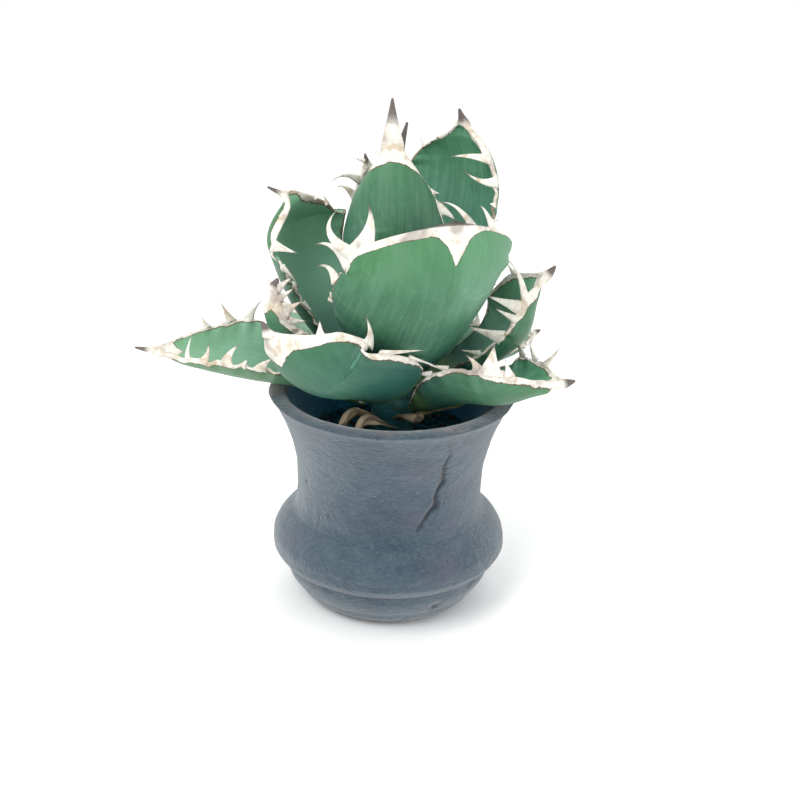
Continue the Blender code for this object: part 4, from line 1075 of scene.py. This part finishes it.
def build_soil():
    rng = np.random.default_rng(11)
    low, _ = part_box("soil")
    top = POT_HEIGHT - SOIL_DROP
    zs = np.array([z for z, _ in POT_OUTLINE][::-1]) * POT_HEIGHT
    rs = np.array([r for _, r in POT_OUTLINE][::-1]) * RIM_RADIUS
    side_z = np.linspace(FLOOR_THICKNESS + FLOOR_CURVE, top - 0.0006, 40)
    side_r = np.interp(side_z, zs, rs) - BODY_WALL - 0.0006
    side_r[0] = FOOT_RADIUS - BODY_WALL - 0.0006
    edge = side_r[-1]
    bore = STEM_RADIUS + SOIL_GAP
    top_r = np.linspace(edge, bore, SOIL_ROWS)
    top_z = np.full(SOIL_ROWS, top)
    under_z = low[2] + 0.0002
    r = np.concatenate([[0.0005, FOOT_RADIUS - BODY_WALL - 0.0028], side_r, top_r,
                        [bore, 0.0005]])
    z = np.concatenate([[under_z, under_z], side_z, top_z,
                        [top - STEM_BURIED - SOIL_GAP, top - STEM_BURIED - SOIL_GAP]])
    is_top = np.concatenate([np.zeros(2 + len(side_z)), np.ones(SOIL_ROWS), np.zeros(2)])
    is_top[-3] = 0
    phi = np.linspace(0, 2 * np.pi, SOIL_TURNS, endpoint=False)
    rr, aa = np.meshgrid(r, phi, indexing="ij")
    zz = np.repeat(z[:, None], SOIL_TURNS, 1)
    flat = np.stack([rr * np.sin(aa), -rr * np.cos(aa), zz], -1).reshape(-1, 3)
    bumps = wobble(flat, 110.0, 21).reshape(rr.shape) * 0.0011 \
        + wobble(flat, 420.0, 22).reshape(rr.shape) * 0.0007
    zz = zz + (bumps - 0.0008) * is_top[:, None]
    verts = np.stack([rr * np.sin(aa), -rr * np.cos(aa), zz], -1).reshape(-1, 3)
    faces = []
    rows = len(r)
    for i in range(rows - 1):
        for j in range(SOIL_TURNS):
            k = (j + 1) % SOIL_TURNS
            a, b = i * SOIL_TURNS, (i + 1) * SOIL_TURNS
            faces.append((a + j, a + k, b + k, b + j))
    faces.append(tuple(range(SOIL_TURNS - 1, -1, -1)))
    faces.append(tuple((rows - 1) * SOIL_TURNS + j for j in range(SOIL_TURNS)))
    kind = [np.zeros(len(verts))]
    verts = [verts]
    count = len(verts[0])
    bpy.ops.mesh.primitive_ico_sphere_add(subdivisions=2, radius=1.0)
    ball = bpy.context.object
    ball_verts = np.array([v.co[:] for v in ball.data.vertices])
    ball_faces = [tuple(p.vertices) for p in ball.data.polygons]
    bpy.data.objects.remove(ball, do_unlink=True)
    for i in range(GRAIN_COUNT):
        size = rng.uniform(0.0007, 0.0021) * (1.25 if i % 9 == 0 else 1.0)
        radius = math.sqrt(rng.uniform((bore + 0.002) ** 2, (edge - 0.0025) ** 2))
        a = rng.uniform(0, 2 * math.pi)
        shape = ball_verts * rng.uniform(0.6, 1.1, 3) * size
        shape = shape * (1 + 0.22 * wobble(ball_verts * 3 + i, 0.9, 5))[:, None]
        turn = rng.uniform(0, 2 * math.pi)
        c, s = math.cos(turn), math.sin(turn)
        shape = shape @ np.array([[c, -s, 0], [s, c, 0], [0, 0, 1]])
        at = np.array([radius * math.cos(a), radius * math.sin(a), top - 0.0004 + 0.2 * size])
        verts.append(shape + at)
        faces += [tuple(count + k for k in f) for f in ball_faces]
        count += len(shape)
        kind.append(np.full(len(shape), rng.uniform(0, 1)))
    return finish_mesh("soil_top", np.vstack(verts), faces, {"kind": np.concatenate(kind)},
                       earth_material())


def build_stem():
    top = POT_HEIGHT - SOIL_DROP
    high = POT_HEIGHT + STEM_ABOVE_RIM
    points = ((top - STEM_BURIED, STEM_RADIUS * 0.55), (top - STEM_BURIED + 0.004, STEM_RADIUS * 0.96),
              (POT_HEIGHT - 0.01, STEM_RADIUS * 0.96), (POT_HEIGHT + 0.008, STEM_RADIUS * 0.9),
              (high - 0.02, 0.0056), (high - 0.004, 0.0032), (high - 0.0008, 0.0020))
    z = np.linspace(points[0][0], points[-1][0], 110)
    r = smooth_line(points, z)
    phi = np.linspace(0, 2 * np.pi, STEM_TURNS, endpoint=False)
    rr, aa = np.meshgrid(r, phi, indexing="ij")
    zz = np.repeat(z[:, None], STEM_TURNS, 1)
    flat = np.stack([rr * np.sin(aa), -rr * np.cos(aa), zz], -1).reshape(-1, 3)
    spiral = np.sin(zz / 0.0011 + aa * 3) * 0.02 + np.sin(zz / 0.0029 - aa * 5) * 0.02
    rr = rr * (0.96 + spiral * 0.8 + 0.03 * wobble(flat, 300.0, 31).reshape(rr.shape))
    verts = np.stack([rr * np.sin(aa), -rr * np.cos(aa), zz], -1).reshape(-1, 3)
    faces = []
    for i in range(len(z) - 1):
        for j in range(STEM_TURNS):
            k = (j + 1) % STEM_TURNS
            faces.append((i * STEM_TURNS + j, i * STEM_TURNS + k,
                          (i + 1) * STEM_TURNS + k, (i + 1) * STEM_TURNS + j))
    faces.append(tuple(range(71, -1, -1)))
    faces.append(tuple((len(z) - 1) * STEM_TURNS + j for j in range(STEM_TURNS)))
    return finish_mesh("stem_body", verts, faces, {}, stem_material())


# ---------------------------------------------------------------- camera, light and floor
CAMERA_LENS = 54.0
SENSOR_WIDTH = 36.0
CAMERA_DISTANCE = 0.588
CAMERA_DOWN = 22.0           # degrees below level
CAMERA_ROLL = 1.72
CAMERA_AIM = (0.0039, 0.0, 0.1028)
LIGHT_AIM = (0, 0, 0.11)
WORLD_STRENGTH = 1.02
KEY_POWER = 9.0
FILL_POWER = 2.0
BACK_POWER = 3.0
FLOOR_HALF = 6.0
FLOOR_DROP = 0.0002          # keeps the floor clear of the pot's underside


def area_light(name, place, size, power, color=(1.0, 1.0, 1.0)):
    data = bpy.data.lights.new(name, "AREA")
    data.shape = "DISK"
    data.size = size
    data.energy = power
    data.color = color
    light = bpy.data.objects.new(name, data)
    light.location = place
    light.rotation_euler = (Vector(LIGHT_AIM) - Vector(place)).to_track_quat("-Z", "Y").to_euler()
    bpy.context.scene.collection.objects.link(light)
    return light


def build_stage():
    scene = bpy.context.scene
    down, roll = math.radians(CAMERA_DOWN), math.radians(CAMERA_ROLL)
    forward = Vector((0.0, math.cos(down), -math.sin(down)))
    right = Vector((1.0, 0.0, 0.0))
    up = right.cross(forward)
    right, up = (right * math.cos(roll) + up * math.sin(roll),
                 up * math.cos(roll) - right * math.sin(roll))
    data = bpy.data.cameras.new("camera")
    data.lens = CAMERA_LENS
    data.sensor_width = SENSOR_WIDTH
    data.clip_start = 0.01
    data.clip_end = 20.0
    camera = bpy.data.objects.new("camera", data)
    matrix = [list(row) for row in zip(right, up, -forward)]
    place = Vector(CAMERA_AIM) - forward * CAMERA_DISTANCE
    camera.matrix_world = Matrix([matrix[0] + [place.x], matrix[1] + [place.y],
                                  matrix[2] + [place.z], [0.0, 0.0, 0.0, 1.0]])
    scene.collection.objects.link(camera)
    scene.camera = camera
    g = Graph("floor_paper")
    grain = g.noise(g.coords(), 40.0, 2.0)
    color = g.mix(g.fade(grain, 0.3, 0.7), (0.97, 0.97, 0.97), (0.985, 0.985, 0.985))
    paper = g.close(color, 1.0, **{"Specular IOR Level": 0.0})
    half = FLOOR_HALF
    verts = [(-half, -half, 0), (half, -half, 0), (half, half, 0), (-half, half, 0)]
    mesh = bpy.data.meshes.new("floor")
    mesh.from_pydata(verts, [], [(0, 1, 2, 3)])
    mesh.materials.append(paper)
    floor = bpy.data.objects.new("floor", mesh)
    floor.location.z = -FLOOR_DROP
    scene.collection.objects.link(floor)
    world = bpy.data.worlds.new("studio")
    world.use_nodes = True
    background = world.node_tree.nodes["Background"]
    background.inputs["Color"].default_value = (1.0, 1.0, 1.0, 1.0)
    background.inputs["Strength"].default_value = WORLD_STRENGTH
    scene.world = world
    area_light("key_light", (-0.55, -0.75, 1.15), 0.7, KEY_POWER, (1.0, 0.995, 0.98))
    area_light("right_light", (0.9, -0.55, 0.45), 0.8, FILL_POWER, (0.97, 0.99, 1.0))
    area_light("back_light", (0.1, 1.0, 0.8), 0.9, BACK_POWER)
    scene.view_settings.view_transform = "Standard"


def place_piece(obj, node):
    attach(obj, "root")
    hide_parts(node)


build_stage()
leaf_skin = leaf_material()
dry_skin = dry_material()
for number, (node, spec) in enumerate(LEAVES.items()):
    dried = spec.get("dry", False)
    leaf = build_leaf(node.replace("leaf", "blade"), spec, number + 1, dry_skin if dried else leaf_skin)
    place_piece(leaf, node)
place_piece(build_pot(), "pot")
place_piece(build_soil(), "soil")
place_piece(build_stem(), "stem")
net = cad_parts["drain_net"]
net_skin = net_material()
for index in range(len(net.material_slots)):
    net.material_slots[index].material = net_skin
